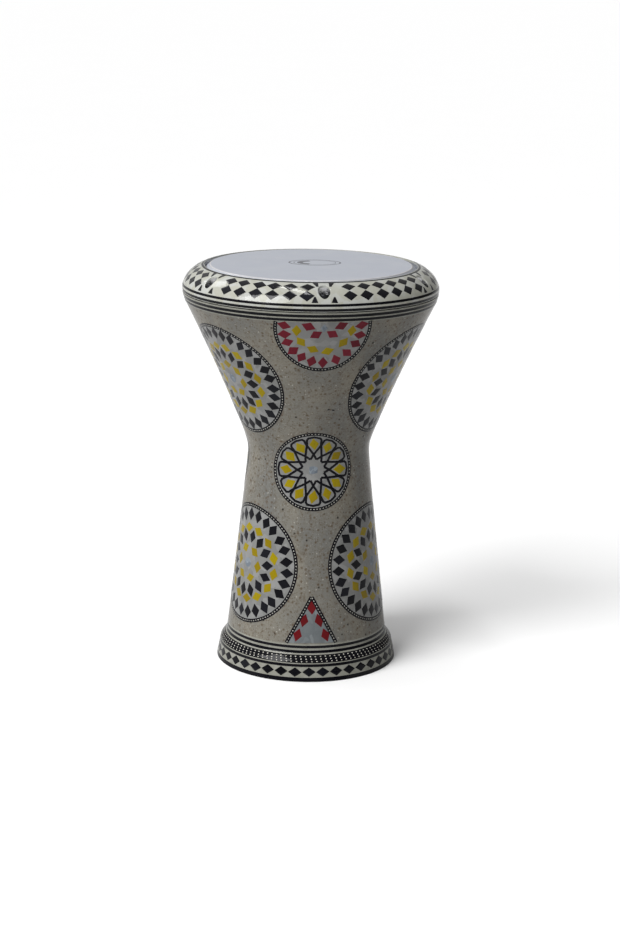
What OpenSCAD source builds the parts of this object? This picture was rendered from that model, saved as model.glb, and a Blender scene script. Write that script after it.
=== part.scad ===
// Darbuka: a goblet drum with a cast shell, a mosaic resin skin, a screwed
// tuning ring and a film head. Millimetres, +Z up, origin on the floor under
// the drum's axis. Azimuth 0 faces -Y and grows towards +X.

/* [Body] */
// Radius of the foot rim on the floor
foot_r = 100.5; // [97:0.5:104]
// Height of the narrowest part of the neck
neck_z = 240; // [234:1:246]
// Outer radius of the neck
neck_r = 67; // [64:0.5:70]
// Inward lean of the foot cone, radius per unit of height
foot_lean = 0.1117; // [0.09:0.001:0.13]
// Outward lean of the bowl where it leaves the neck
bowl_lean = 0.385; // [0.37:0.005:0.4]
// Extra flare of the bowl towards the top
bowl_flare = 0.00034; // [0.0003:0.00001:0.00038]
// How softly the foot cone runs into the bowl
throat_soft = 2; // [1:0.1:4]
// Thickness of the cast wall
wall_t = 4.4; // [3.5:0.1:5]
// Thickness of the mosaic skin
skin_t = 1.6; // [1.2:0.1:1.6]

/* [Foot band] */
// Height of the bare metal rim
rim_h = 1.5; // [1.5:0.1:3]
// Height where the cream foot band ends
foot_band_z = 39.6; // [38:0.2:42]
// Outward step of the foot flange
flange_step = 6; // [4:0.2:7]
// Number of black diamonds round the foot
diamond_count = 40; // [36:1:42]

/* [Top of the shell] */
// Height where the cream top band starts
top_band_z = 405.4; // [404:0.1:406]
// Height of the ledge that carries the lugs
ledge_z = 415.5; // [415:0.1:415.8]
// Radius of the middle of the bearing edge
bearing_r = 109.6; // [108:0.2:110]
// Thickness of the bearing edge wall
bearing_t = 4.4; // [3.6:0.2:4.4]
// Height of the playing surface
drum_h = 444.85; // [444.8:0.05:446]

/* [Head] */
// Thickness of the film
film_t = 0.4; // [0.3:0.05:0.5]
// Inner radius of the flesh hoop
hoop_r = 116.8; // [116.6:0.1:117.2]
// Width of the flesh hoop
hoop_w = 4.6; // [3.5:0.1:4.8]
// Height of the flesh hoop
hoop_h = 5.8; // [5:0.1:6.5]

/* [Tuning ring] */
// Outer radius of the ring
ring_r = 140; // [139.5:0.1:140.5]
// Height of the ring's lower edge
ring_z = 416.7; // [416.4:0.1:417.5]
// Radius of the opening in the ring
lip_r = 116.2; // [116:0.1:116.5]
// Height of the widest part of the rounded shoulder
waist_z = 420.5; // [420:0.1:421]
// Fullness of the rounded shoulder
shoulder_n = 1.69; // [1.6:0.01:1.8]
// Black tiles in each row between two screws
ring_tile_count = 6; // [5:1:6]

/* [Screws] */
// Radius of the screw circle
bolt_r = 130; // [129.5:0.1:130]
// Azimuth of the first screw
bolt_az = 6.2; // [0:0.1:60]
// Radius of a screw's shank
shank_r = 3; // [2.5:0.5:3]
// Radius of a screw's head
screw_head_r = 5; // [4.5:0.25:5.25]
// Height of a screw's head
screw_head_h = 6; // [5:0.5:6]
// Length of a screw's shank
shank_l = 20; // [18:1:22]
// Radius of the counterbore in the ring
counterbore_r = 6.5; // [6.3:0.1:6.5]

/* [Mosaic] */
// Azimuth of the line that the pattern is built on
pattern_az = 5; // [0:1:60]
// Height of the centres of the bowl medallions
bowl_med_z = 329.3; // [327:0.5:331]
// Radius of a bowl medallion's rope border
bowl_med_r = 65.5; // [62:0.5:67]
// Height of the centres of the foot medallions
foot_med_z = 119.3; // [117:0.5:121]
// Radius of a foot medallion's rope border
foot_med_r = 64.5; // [62:0.5:66]
// Height of the centres of the neck rosettes
rosette_z = 231; // [229:0.5:233]
// Radius of a neck rosette's rope border
rosette_r = 43.4; // [42:0.2:44]
// Height of the centres of the half medallions
half_med_z = 396; // [394:0.5:397]
// Radius of a half medallion's rope border
half_med_r = 50.5; // [48:0.5:52]
// Long diagonal of a mosaic tile
tile_l = 15.2; // [12:0.2:16]
// Short diagonal of a mosaic tile
tile_w = 10.4; // [8:0.2:11]

/* [Hidden] */
$fn = 96;
inlay_depth = 0.6;
inlay_proud = 0.3;
tile_proud = 0.6;
tile_t = 1.4;
rope_w = 3;
line_w = 1.3;
throat_cone_r = neck_r - 1;
throat_bowl_r = neck_r - 3.6;
flange_top_z = 32;
flange_low_z = 20;
rim_lean = 0.085;
kink_z = 407.4;
film_z = drum_h - film_t;
crown_r = bearing_t / 2;
crown_z = film_z - crown_r;
hoop_z = 439.6;
lug_r = 5.5;
lug_top_z = 420.5;
thread_r = shank_r + 0.05;
thread_z = 404;
pad_r = 8.5;
pad_z = 421.9;
seat_z = 426.4;
washer_t = 1.6;
washer_r = 6.2;
skirt_t = 2.2;
ring_top_z = 444.6;
shoulder_r = 114.3;
ring_skin_r = ring_r - 0.4;
film_r = bearing_r + 1.2;
thirds = [0, 120, 240];
petal_low = 18.2;
petal_meet = [6.7, 28];
petal_shoulder = [7.2, 36];
petal_top = 38.6;
star_out_r = 15.4;
star_in_r = 11.4;
half_turn = 1;
triangle_z = 63;
triangle_apex = 29;
triangle_base = 26;
triangle_low = -22.4;
metal_colour = "silver";
stone_colour = "#8f8876";
cream_colour = "#c9c5b4";
black_colour = "#17171c";
rope_colour = "#2a2a2c";
yellow_colour = "#c8b000";
red_colour = "#7a1828";
dark_red_colour = "#8e1424";
pearl_colour = "#a9aaa4";
blue_pearl_colour = "#a3aeb6";
grey_pearl_colour = "#9aa0a8";
film_colour = "#aab0ba";
steel_colour = "#9a9a9a";
screw_colour = "#222226";
drill_h = 40;
socket_r = 2.9;
foot_stripe_zs = [[1.9, 4.8], [17, 19.6], [30.4, 32.9], [35.6, 37.9]];
dot_band_z = [20.9, 29.5];
diamond_z = 10.8;
thread_rs = [117.2, 118.9];
top_stripe_zs = [[406.5, 409.3], [410.8, 413.8]];
ring_stripe_zs = [[417.3, 420], [422.4, 424.7]];
bolts = [for (k = [0 : 5]) bolt_az + 60 * k];

// ---- outline of the body ----

function ease(t) = let (c = min(max(t, 0), 1)) c * c * (3 - 2 * c);
function cone_r(z) = throat_cone_r + foot_lean * (neck_z - z);
function bowl_r(z) =
    throat_bowl_r + bowl_lean * (z - neck_z) + bowl_flare * pow(max(z - neck_z, 0), 2);
function throat_r(z) =
    let (a = cone_r(z), b = bowl_r(z)) (a + b) / 2 + sqrt(pow((a - b) / 2, 2) + pow(throat_soft, 2));
function flange_r(z) = flange_step * ease((flange_top_z - z) / (flange_top_z - flange_low_z))
    + rim_lean * max(flange_low_z - z, 0);
function band_r(z) = throat_r(kink_z) + (ring_skin_r - throat_r(kink_z)) * (z - kink_z) / (ledge_z - kink_z);
// radius of the outside of the drum at a height, below the ring
function skin_r(z) = z > kink_z ? band_r(z) : throat_r(z) + flange_r(z);
function cast_r(z) = skin_r(z) - skin_t;
function inner_r(z) = cast_r(z) - wall_t;
function heights(low, high) = concat(
    [low],
    [for (z = [5 : 3 : 35]) if (z > low + 1 && z < high - 1) z],
    [for (z = [40 : 8 : 400]) if (z > low + 1 && z < high - 1) z],
    low < kink_z - 1 && high > kink_z + 1 ? [kink_z] : [],
    [high]);
function arc(x, z, r, from, to, steps) =
    [for (k = [0 : steps]) let (a = from + (to - from) * k / steps) [x + r * cos(a), z + r * sin(a)]];

// ---- outline of the ring: a superellipse from the lip to the waist ----

function shoulder(t, inset) = [
    shoulder_r + (ring_r - inset - shoulder_r) * pow(sin(t), 2 / shoulder_n),
    waist_z + (ring_top_z - inset - waist_z) * pow(cos(t), 2 / shoulder_n)];
function shoulder_at(r, inset) = asin(pow((r - shoulder_r) / (ring_r - inset - shoulder_r), shoulder_n / 2));
function shoulder_points(inset, r_from, r_to, steps) =
    let (a = shoulder_at(r_from, inset), b = shoulder_at(r_to, inset))
    [for (k = [0 : steps]) shoulder(a + (b - a) * k / steps, inset)];
function side_r(z) = z < waist_z
    ? ring_r - (ring_r - ring_skin_r) * (waist_z - z) / (waist_z - ring_z)
    : shoulder_r + (ring_r - shoulder_r)
        * pow(1 - pow((z - waist_z) / (ring_top_z - waist_z), shoulder_n), 1 / shoulder_n);

// ---- laying flat patterns on the body ----

function slope(z) = atan((skin_r(z + 4) - skin_r(z - 4)) / 8);
function along(z, d, n = 8) = n == 0 ? z : along(z + d / n * cos(slope(z)), d * (n - 1) / n, n - 1);
// azimuth and height of a point x, y of a flat pattern centred at az, z
function laid(az, z, p) =
    let (k = sin(slope(z)), r0 = skin_r(z), h = norm([k * p[0], r0 + k * p[1]]),
        up = along(z, (h - r0) / k), turn = atan(k * p[0] / (r0 + k * p[1])))
    [az + h / k * turn / skin_r(up), up];
function on_body(az, z, p, out) =
    let (q = laid(az, z, p), r = skin_r(q[1]) + out) [r * sin(q[0]), -r * cos(q[0]), q[1]];
function round_path(r, from, to, steps) = arc(0, 0, r, from, to, steps);
function diamond(w, h) = [[w / 2, 0], [0, h / 2], [-w / 2, 0], [0, -h / 2]];

module ring_of(points) {
    rotate_extrude() polygon(points);
}

module at_bolts(z) {
    for (a = bolts) rotate([0, 0, a]) translate([0, -bolt_r, z]) children();
}

module body_band(low, high, out) {
    hs = heights(low, high);
    ring_of(concat(
        [for (z = hs) [skin_r(z) + out, z]],
        [for (k = [len(hs) - 1 : -1 : 0]) [skin_r(hs[k]) - inlay_depth, hs[k]]]));
}

// a flat tile whose face looks out of the body at an azimuth and height
module tile_on(az, r, z, lean, turn, points) {
    rotate([0, 0, az]) translate([0, -r, z]) rotate([90 + lean, 0, 0])
        translate([0, 0, tile_proud - tile_t]) linear_extrude(tile_t) rotate(turn) polygon(points);
}

module tile_at(az, z, p, turn, points) {
    q = laid(az, z, p);
    tile_on(q[0], skin_r(q[1]), q[1], slope(q[1]), turn, points);
}

module tile_circle(az, z, r, count, first, w, h) {
    for (k = [0 : count - 1]) {
        a = first + 360 * k / count;
        tile_at(az, z, [r * cos(a), r * sin(a)], a - 90, diamond(w, h));
    }
}

// a closed outline filled in and wrapped on the body, in rings about a centre
module patch(az, z, outline, centre, levels = 3) {
    n = len(outline);
    outs = [-inlay_depth, inlay_proud];
    points = [for (out = outs) each concat(
        [on_body(az, z, centre, out)],
        [for (l = [1 : levels]) for (b = outline)
            on_body(az, z, centre + (b - centre) * l / levels, out)])];
    half = 1 + levels * n;
    top = [for (i = [0 : n - 1]) let (j = (i + 1) % n) each concat(
        [[0, 1 + j, 1 + i]],
        [for (l = [0 : levels - 2]) let (a = 1 + l * n, b = a + n) each
            [[a + i, a + j, b + j], [a + i, b + j, b + i]]])];
    rim = [for (i = [0 : n - 1]) let (j = (i + 1) % n, a = half - n) each
        [[a + i, a + j, half + a + j], [a + i, half + a + j, half + a + i]]];
    polyhedron(points, concat(
        [for (f = top) [f[2], f[1], f[0]]],
        [for (f = top) [half + f[0], half + f[1], half + f[2]]],
        rim));
}

// a strip of a given width along a flat path, wrapped on the body
module ribbon(az, z, path, w, closed = true) {
    n = len(path);
    function unit(v) = v / norm(v);
    function ahead(i) = closed
        ? unit(path[(i + 1) % n] - path[i])
        : unit(path[min(i + 1, n - 1)] - path[min(i, n - 2)]);
    function behind(i) = closed || i > 0 ? ahead((i + n - 1) % n) : ahead(0);
    function side(i) = let (m = unit(ahead(i) + behind(i))) [-m[1], m[0]] * w / 2 / max(m * ahead(i), 0.5);
    points = [for (i = [0 : n - 1]) each [
        on_body(az, z, path[i] + side(i), -inlay_depth), on_body(az, z, path[i] + side(i), tile_proud),
        on_body(az, z, path[i] - side(i), tile_proud), on_body(az, z, path[i] - side(i), -inlay_depth)]];
    sides = [for (i = [0 : closed ? n - 1 : n - 2]) let (j = (i + 1) % n) for (c = [0 : 3])
        let (d = (c + 1) % 4) each [
            [4 * i + c, 4 * i + d, 4 * j + d], [4 * i + c, 4 * j + d, 4 * j + c]]];
    ends = closed ? [] : [[3, 2, 1], [3, 1, 0],
        [4 * n - 4, 4 * n - 3, 4 * n - 2], [4 * n - 4, 4 * n - 2, 4 * n - 1]];
    polyhedron(points, concat(sides, ends));
}

// ---- cast shell and its skin ----

module shell() {
    outside = [for (z = heights(rim_h, ledge_z)) [cast_r(z), z]];
    inside = [for (z = heights(0, 398)) [inner_r(z), z]];
    corner = [[124, 404.5], [118, 409]];
    outline = concat(
        [[foot_r, 0], [foot_r - 0.2, rim_h]],
        outside,
        [[bearing_r + crown_r, ledge_z]],
        arc(bearing_r, crown_z, crown_r, 0, 180, 10),
        [[bearing_r - crown_r, 410.5]],
        [for (k = [1 : -1 : 0]) corner[k]],
        [for (k = [len(inside) - 1 : -1 : 0]) inside[k]]);
    sunk = 3;
    color(metal_colour) difference() {
        union() {
            ring_of(outline);
            at_bolts(ledge_z - sunk) cylinder(r = lug_r, h = lug_top_z - ledge_z + sunk);
        }
        at_bolts(thread_z) cylinder(r = thread_r, h = drill_h);
    }
}

module skin_band(low, high) {
    hs = heights(low, high);
    ring_of(concat(
        [for (z = hs) [skin_r(z), z]],
        [for (k = [len(hs) - 1 : -1 : 0]) [cast_r(hs[k]), hs[k]]]));
}

module shell_skin() { color(stone_colour) skin_band(foot_band_z, top_band_z); }

module foot_band() { color(cream_colour) skin_band(rim_h, foot_band_z); }

module top_band() { color(cream_colour) skin_band(top_band_z, ledge_z); }

module foot_stripes() {
    color(black_colour) for (s = foot_stripe_zs) body_band(s[0], s[1], inlay_proud);
}

module foot_dot_band() { color(black_colour) body_band(dot_band_z[0], dot_band_z[1], inlay_proud); }

module foot_diamonds() {
    z = diamond_z;
    first = pattern_az - 2.8;
    color(black_colour) for (k = [0 : diamond_count - 1])
        tile_on(first + 360 * k / diamond_count, skin_r(z), z, slope(z), 0, diamond(14.6, tile_w));
}

module top_stripes() {
    color(black_colour) for (s = top_stripe_zs) body_band(s[0], s[1], inlay_proud);
}

// ---- round medallions on the bowl and the foot ----

module on_thirds(shift) {
    for (t = thirds) rotate([0, 0, pattern_az + shift + t]) children();
}

module bowl_grounds() {
    color(pearl_colour) on_thirds(60) patch(0, bowl_med_z, round_path(bowl_med_r - 1, 0, 345, 23), [0, 0]);
}

module bowl_ropes() {
    color(rope_colour) on_thirds(60) ribbon(0, bowl_med_z, round_path(bowl_med_r, 0, 350, 35), rope_w);
}

module bowl_black_outer() {
    color(black_colour) on_thirds(60) tile_circle(0, bowl_med_z, bowl_med_r - 9.4, 29, 2, tile_w, tile_l);
}

module bowl_yellow_outer() {
    color(yellow_colour) on_thirds(60) tile_circle(0, bowl_med_z, bowl_med_r - 25, 15, 4, tile_l, tile_w);
}

module bowl_black_inner() {
    color(black_colour) on_thirds(60) tile_circle(0, bowl_med_z, bowl_med_r - 34, 15, 16, tile_w, tile_l);
}

module bowl_yellow_inner() {
    color(yellow_colour) on_thirds(60)
        tile_circle(0, bowl_med_z, bowl_med_r - 47.5, 7, 38, tile_l - 1, tile_w);
}

module bowl_pearls() {
    color(grey_pearl_colour) on_thirds(60) tile_at(0, bowl_med_z, [0, 0], 0, round_path(6, 0, 315, 7));
}

module foot_grounds() {
    color(pearl_colour) on_thirds(60) patch(0, foot_med_z, round_path(foot_med_r - 1, 0, 345, 23), [0, 0]);
}

module foot_ropes() {
    color(rope_colour) on_thirds(60) ribbon(0, foot_med_z, round_path(foot_med_r, 0, 350, 35), rope_w);
}

module foot_black_outer() {
    color(black_colour) on_thirds(60)
        tile_circle(0, foot_med_z, foot_med_r - 10.4, 27, 6, tile_w, tile_l - 1);
}

module foot_yellow_outer() {
    color(yellow_colour) on_thirds(60) tile_circle(0, foot_med_z, foot_med_r - 25, 14, 6, tile_l, tile_w);
}

module foot_black_inner() {
    color(black_colour) on_thirds(60) tile_circle(0, foot_med_z, foot_med_r - 34, 14, 18.5, tile_w, tile_l);
}

module foot_yellow_inner() {
    color(yellow_colour) on_thirds(60)
        tile_circle(0, foot_med_z, foot_med_r - 47.5, 6, 25, tile_l - 1, tile_w);
}

module foot_pearls() {
    color(grey_pearl_colour) on_thirds(60) tile_at(0, foot_med_z, [0, 0], 0, round_path(6, 0, 315, 7));
}

// ---- twelve-petal rosettes on the neck ----

function turned(p, a) = [p[0] * cos(a) - p[1] * sin(a), p[0] * sin(a) + p[1] * cos(a)];
function mirrored(p) = [-p[0], p[1]];
petal = [
    [0, petal_low], petal_meet, petal_shoulder,
    [0, petal_top], mirrored(petal_shoulder), mirrored(petal_meet)];
star = [for (k = [0 : 11]) each [turned([0, star_out_r], 30 * k), turned([0, star_in_r], 30 * k + 15)]];

module rosette_grounds() {
    color(pearl_colour) on_thirds(0) patch(0, rosette_z, round_path(rosette_r - 1, 0, 345, 23), [0, 0]);
}

module rosette_ropes() {
    color(rope_colour) on_thirds(0) ribbon(0, rosette_z, round_path(rosette_r, 0, 350, 35), rope_w - 0.4);
}

module rosette_lines() {
    color(black_colour) on_thirds(0) {
        for (k = [0 : 11]) ribbon(0, rosette_z, [for (p = petal) turned(p, 30 * k)], line_w);
        ribbon(0, rosette_z, star, line_w);
    }
}

module rosette_yellow() {
    color(yellow_colour) on_thirds(0) tile_circle(0, rosette_z, 29.5, 12, 0, tile_w - 1, tile_l - 1);
}

module rosette_pearls() {
    color(grey_pearl_colour) on_thirds(0) tile_at(0, rosette_z, [0, 0], 0, round_path(4.4, 0, 315, 7));
}

// ---- half medallions that hang from the top band ----

// height of the band's edge above the centre of the flat pattern, at a distance from its middle
function half_edge(x) =
    let (k = sin(slope(half_med_z)), r0 = skin_r(half_med_z),
        top = (top_band_z - half_med_z) / cos(slope(half_med_z)))
    (sqrt(pow(r0 + k * top, 2) - pow(k * x, 2)) - r0) / k;
half_lift = asin(half_edge(half_med_r) / half_med_r);

module half_grounds() {
    r = half_med_r - 1;
    rim = round_path(r, 180 - half_lift, 360 + half_lift, 20);
    top = [for (k = [9 : -1 : -9]) let (x = r * cos(half_lift) * k / 10) [x, half_edge(x) - 0.2]];
    color(pearl_colour) on_thirds(0) patch(half_turn, half_med_z, concat(rim, top), [0, -half_med_r / 6]);
}

module half_ropes() {
    path = round_path(half_med_r, 180 - half_lift, 360 + half_lift, 24);
    color(rope_colour) on_thirds(0) ribbon(half_turn, half_med_z, path, rope_w, closed = false);
}

// tiles at [distance from the centre, angle] places, each with one diagonal along its radius
module half_tiles(places, w, h) {
    for (p = places)
        tile_at(half_turn, half_med_z, [p[0] * cos(p[1]), p[0] * sin(p[1])], p[1] - 90, diamond(w, h));
}

module half_red_outer() {
    angles = [175.5, 191.6, 206.6, 223.4, 239.6, 256, 272.7, 292.2, 311.5, 330, 346.5, 364];
    places = [for (a = angles) [half_med_r - 9.3, a]];
    color(red_colour) on_thirds(0) half_tiles(places, tile_w, tile_l - 1);
}

module half_yellow() {
    places = [[27.6, 183.5], [27.3, 214.5], [26, 248], [27, 283], [27.8, 323], [30.5, 355.5]];
    color(yellow_colour) on_thirds(0) half_tiles(places, tile_l - 1.4, tile_w - 1);
}

module half_red_inner() {
    color(red_colour) on_thirds(0) {
        tile_at(half_turn, half_med_z, [-15.6, 3.6], -22, diamond(tile_l - 1.4, tile_w - 1));
        tile_at(half_turn, half_med_z, [-7, -6], 40, diamond(tile_l - 3, tile_w - 1));
        tile_at(half_turn, half_med_z, [9.4, -6], -40, diamond(tile_l - 3, tile_w - 1));
        tile_at(half_turn, half_med_z, [18, 3.8], 22, diamond(tile_l - 1.4, tile_w - 1));
    }
}

module half_pearls() {
    color(grey_pearl_colour) on_thirds(0) tile_at(half_turn, half_med_z, [0, 3.4], 0, diamond(7, 9));
}

// ---- triangles between the foot medallions ----

// a point part way up one side, from the base at 0 to the apex at 1
function triangle_side(s, t) =
    [s * triangle_base * (1 - t), triangle_low + (triangle_apex - triangle_low) * t];

module triangle_grounds() {
    right = [for (k = [0 : 5]) triangle_side(1, k / 6)];
    left = [for (k = [6 : -1 : 1]) triangle_side(-1, k / 6)];
    base = [for (k = [0 : 3]) [triangle_base * (k / 2 - 1), triangle_low]];
    color(blue_pearl_colour) on_thirds(-1) patch(0, triangle_z, concat(right, left, base), [0, -4]);
}

module triangle_ropes() {
    gap = rope_w / 2 + 0.1;
    color(rope_colour) on_thirds(-1) for (s = [-1, 1])
        ribbon(0, triangle_z, [for (k = [0 : 6]) triangle_side(s, 1 - k / 6) + [s * gap * (1 - k / 6), 0]],
            rope_w, closed = false);
}

module triangle_red() {
    color(dark_red_colour) on_thirds(-1) {
        tile_at(0, triangle_z, [0, 17.2], 0, diamond(11.6, 16.2));
        for (s = [-1, 1]) {
            tile_at(0, triangle_z, [s * 8.3, 2.5], s * 16, diamond(9, 15));
            tile_at(0, triangle_z, [s * 15.4, -14], s * 18, diamond(8.6, 15));
        }
    }
}

// ---- head ----

module head_film() {
    tail = 5;
    under = [[0, film_z], [film_r, film_z], [hoop_r - 1.2, hoop_z - 0.9], [hoop_r - film_t, hoop_z - tail]];
    bend = [[hoop_r, hoop_z - 1.3], [hoop_r - 0.7, hoop_z - 0.5], [film_r + 1, drum_h - 0.7]];
    over = concat([[hoop_r, hoop_z - tail]], bend, [[film_r, drum_h], [0, drum_h]]);
    color(film_colour) ring_of(concat(under, over));
}

module flesh_hoop() {
    color(metal_colour) ring_of([[hoop_r, hoop_z - hoop_h], [hoop_r + hoop_w, hoop_z - hoop_h],
        [hoop_r + hoop_w, hoop_z], [hoop_r, hoop_z]]);
}

// ---- tuning ring ----

module ring_holes() {
    at_bolts(seat_z) cylinder(r = counterbore_r, h = drill_h);
    at_bolts(pad_z - 2) cylinder(r = shank_r + 0.3, h = drill_h);
}

module tuning_ring() {
    wall_r = 122.2;
    wall_out = 126.2;
    outer = shoulder_points(skin_t, lip_r, ring_r - skin_t, 14);
    skirt_in = ring_skin_r - skin_t - skirt_t;
    roof = [for (t = [90 : -9 : 45])
        shoulder(t, 0) - [(ring_r - skirt_in) * pow(sin(t), 2), 7 * pow(cos(t), 0.8)]];
    lug_wall = [[ring_skin_r - skin_t, ring_z], [wall_r, ring_z], [wall_r, hoop_z], [lip_r, hoop_z]];
    color(metal_colour) difference() {
        union() {
            ring_of(concat(outer,
                [[ring_skin_r - skin_t, ring_z], [skirt_in, ring_z]], roof,
                [[wall_out, roof[len(roof) - 1][1] + 1], [wall_out, 430], [wall_r, 430], [wall_r, hoop_z],
                [lip_r, hoop_z]]));
            intersection() {
                ring_of(concat(outer, lug_wall));
                at_bolts(pad_z) cylinder(r = pad_r, h = drill_h);
            }
        }
        ring_holes();
    }
}

module ring_skin() {
    outer = shoulder_points(0, lip_r, ring_r, 18);
    inner = shoulder_points(skin_t, lip_r, ring_r - skin_t, 14);
    color(cream_colour) difference() {
        ring_of(concat(outer, [[ring_skin_r, ring_z], [ring_skin_r - skin_t, ring_z]],
            [for (k = [len(inner) - 1 : -1 : 0]) inner[k]]));
        ring_holes();
    }
}

module ring_stripes() {
    color(black_colour) for (s = ring_stripe_zs)
        ring_of([[side_r(s[0]) - inlay_depth, s[0]], [side_r(s[0]) + 0.1, s[0]],
            [side_r(s[1]) + 0.1, s[1]], [side_r(s[1]) - inlay_depth, s[1]]]);
}

module ring_thread() {
    a = shoulder(shoulder_at(thread_rs[0], 0), 0);
    b = shoulder(shoulder_at(thread_rs[1], 0), 0);
    color(black_colour) ring_of([a - [0, inlay_depth], a + [0, 0.15], b + [0, 0.15], b - [0, inlay_depth]]);
}

// one row of tiles between each pair of screws, at a radius on the shoulder
module shoulder_tile(az, r, turn, points) {
    t = shoulder_at(r, 0);
    d = shoulder(t + 1, 0) - shoulder(t - 1, 0);
    tile_on(az, r, shoulder(t, 0)[1], -atan2(d[0], -d[1]), turn, points);
}

module tile_row(r, w, h) {
    step = 7.95 * 6 / ring_tile_count;
    for (a = bolts) for (k = [0 : ring_tile_count - 1])
        shoulder_tile(a + 11.7 + step * k, r, 0, diamond(w, h));
}

module ring_upper_tiles() { color(black_colour) tile_row(126, 15.6, 10.4); }

module ring_lower_tiles() { color(black_colour) tile_row(134.9, 15.4, 11); }

module ring_wedges() {
    color(black_colour) for (a = bolts) for (s = [-1, 1]) {
        shoulder_tile(a + s * 3.6, 122.6, s * -8, [[-3, 3.3], [3, 3.3], [0.8, -3.3], [-0.8, -3.3]]);
        shoulder_tile(a + s * 4.2, 137.9, 0, [[-3.6, -2.8], [3.6, -2.8], [0.6, 3.6], [-0.6, 3.6]]);
    }
}

// ---- screws ----

module screw_washers() {
    color(steel_colour) at_bolts(seat_z) difference() {
        cylinder(r = washer_r, h = washer_t);
        translate([0, 0, -1]) cylinder(r = shank_r + 0.2, h = washer_t + 2);
    }
}

module tension_screw(k) {
    socket_h = 3;
    color(screw_colour) rotate([0, 0, bolts[k]]) translate([0, -bolt_r, seat_z + washer_t]) difference() {
        union() {
            cylinder(r = screw_head_r, h = screw_head_h);
            translate([0, 0, -shank_l]) cylinder(r = shank_r, h = shank_l + 1);
        }
        translate([0, 0, screw_head_h - socket_h]) cylinder(r = socket_r, h = socket_h + 1, $fn = 6);
    }
}

shell();
shell_skin();
foot_band();
top_band();
foot_stripes();
foot_dot_band();
foot_diamonds();
top_stripes();
bowl_grounds();
bowl_ropes();
bowl_black_outer();
bowl_yellow_outer();
bowl_black_inner();
bowl_yellow_inner();
bowl_pearls();
foot_grounds();
foot_ropes();
foot_black_outer();
foot_yellow_outer();
foot_black_inner();
foot_yellow_inner();
foot_pearls();
rosette_grounds();
rosette_ropes();
rosette_lines();
rosette_yellow();
rosette_pearls();
half_grounds();
half_ropes();
half_red_outer();
half_yellow();
half_red_inner();
half_pearls();
triangle_grounds();
triangle_ropes();
triangle_red();
head_film();
flesh_hoop();
tuning_ring();
ring_skin();
ring_stripes();
ring_thread();
ring_upper_tiles();
ring_lower_tiles();
ring_wedges();
screw_washers();
tension_screw(0);  // screw_1
tension_screw(1);  // screw_2
tension_screw(2);  // screw_3
tension_screw(3);  // screw_4
tension_screw(4);  // screw_5
tension_screw(5);  // screw_6
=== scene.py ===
import bisect
import math
import random

import bpy
from mathutils import Matrix, Vector


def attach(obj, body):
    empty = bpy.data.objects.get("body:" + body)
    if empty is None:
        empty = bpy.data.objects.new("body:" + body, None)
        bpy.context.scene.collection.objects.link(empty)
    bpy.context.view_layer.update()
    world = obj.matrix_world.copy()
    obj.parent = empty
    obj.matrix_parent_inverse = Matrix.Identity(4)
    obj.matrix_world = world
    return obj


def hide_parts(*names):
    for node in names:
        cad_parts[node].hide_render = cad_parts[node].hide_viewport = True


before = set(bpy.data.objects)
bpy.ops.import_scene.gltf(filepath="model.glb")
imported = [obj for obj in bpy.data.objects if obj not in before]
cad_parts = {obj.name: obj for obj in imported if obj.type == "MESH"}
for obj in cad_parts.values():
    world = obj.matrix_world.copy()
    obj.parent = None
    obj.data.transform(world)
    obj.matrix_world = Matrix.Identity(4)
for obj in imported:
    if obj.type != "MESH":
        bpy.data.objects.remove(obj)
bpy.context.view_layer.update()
print("frame loaded:", len(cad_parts), "nodes")

chance = random.Random(11)  # one seed for all the hand-made unevenness
thirds = (0, 120, 240)
patternTurn = 5  # degrees from the front to the first column of patterns

# the drum's outline is in millimetres, and azimuths are in degrees from the front

drumBody = {
    "neckHeight": 240, "coneRadius": 66, "coneLean": 0.1117,
    "bowlRadius": 63.4, "bowlLean": 0.385, "bowlFlare": 0.00034, "throatSoft": 2,
    "flangeStep": 6, "flangeTop": 32, "flangeLow": 20, "rimLean": 0.085,
    "kinkHeight": 407.4, "ledgeHeight": 415.5, "skirtRadius": 139.6, "skinThickness": 1.6,
    "roundSteps": 288,  # segments round the drum
}


def throatRadius(z):
    up = z - drumBody["neckHeight"]
    cone = drumBody["coneRadius"] - drumBody["coneLean"] * up
    bowl = drumBody["bowlRadius"] + drumBody["bowlLean"] * up + drumBody["bowlFlare"] * max(up, 0) ** 2
    return (cone + bowl) / 2 + math.hypot((cone - bowl) / 2, drumBody["throatSoft"])


def skinRadius(z):
    kink = drumBody["kinkHeight"]
    if z > kink:
        share = (z - kink) / (drumBody["ledgeHeight"] - kink)
        return throatRadius(kink) + (drumBody["skirtRadius"] - throatRadius(kink)) * share
    t = (drumBody["flangeTop"] - z) / (drumBody["flangeTop"] - drumBody["flangeLow"])
    t = min(max(t, 0), 1)
    flange = drumBody["flangeStep"] * t * t * (3 - 2 * t)
    return throatRadius(z) + flange + drumBody["rimLean"] * max(drumBody["flangeLow"] - z, 0)


def slopeAt(z):
    return math.atan((skinRadius(z + 4) - skinRadius(z - 4)) / 8)


arcStep, arcTop = 0.5, 415  # spacing and last height of the table of lengths
arcTable = [0.0]  # length along the outline from the floor, at each step of height
for step in range(round(arcTop / arcStep)):
    rise = skinRadius((step + 1) * arcStep) - skinRadius(step * arcStep)
    arcTable.append(arcTable[-1] + math.hypot(rise, arcStep))


def arcAt(z):
    k = min(max(int(z / arcStep), 0), len(arcTable) - 2)
    return arcTable[k] + (arcTable[k + 1] - arcTable[k]) * (z / arcStep - k)


def spanOf(table, value):
    # the entry of a rising table that a value comes after
    return min(max(bisect.bisect_right(table, value) - 1, 0), len(table) - 2)


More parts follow.
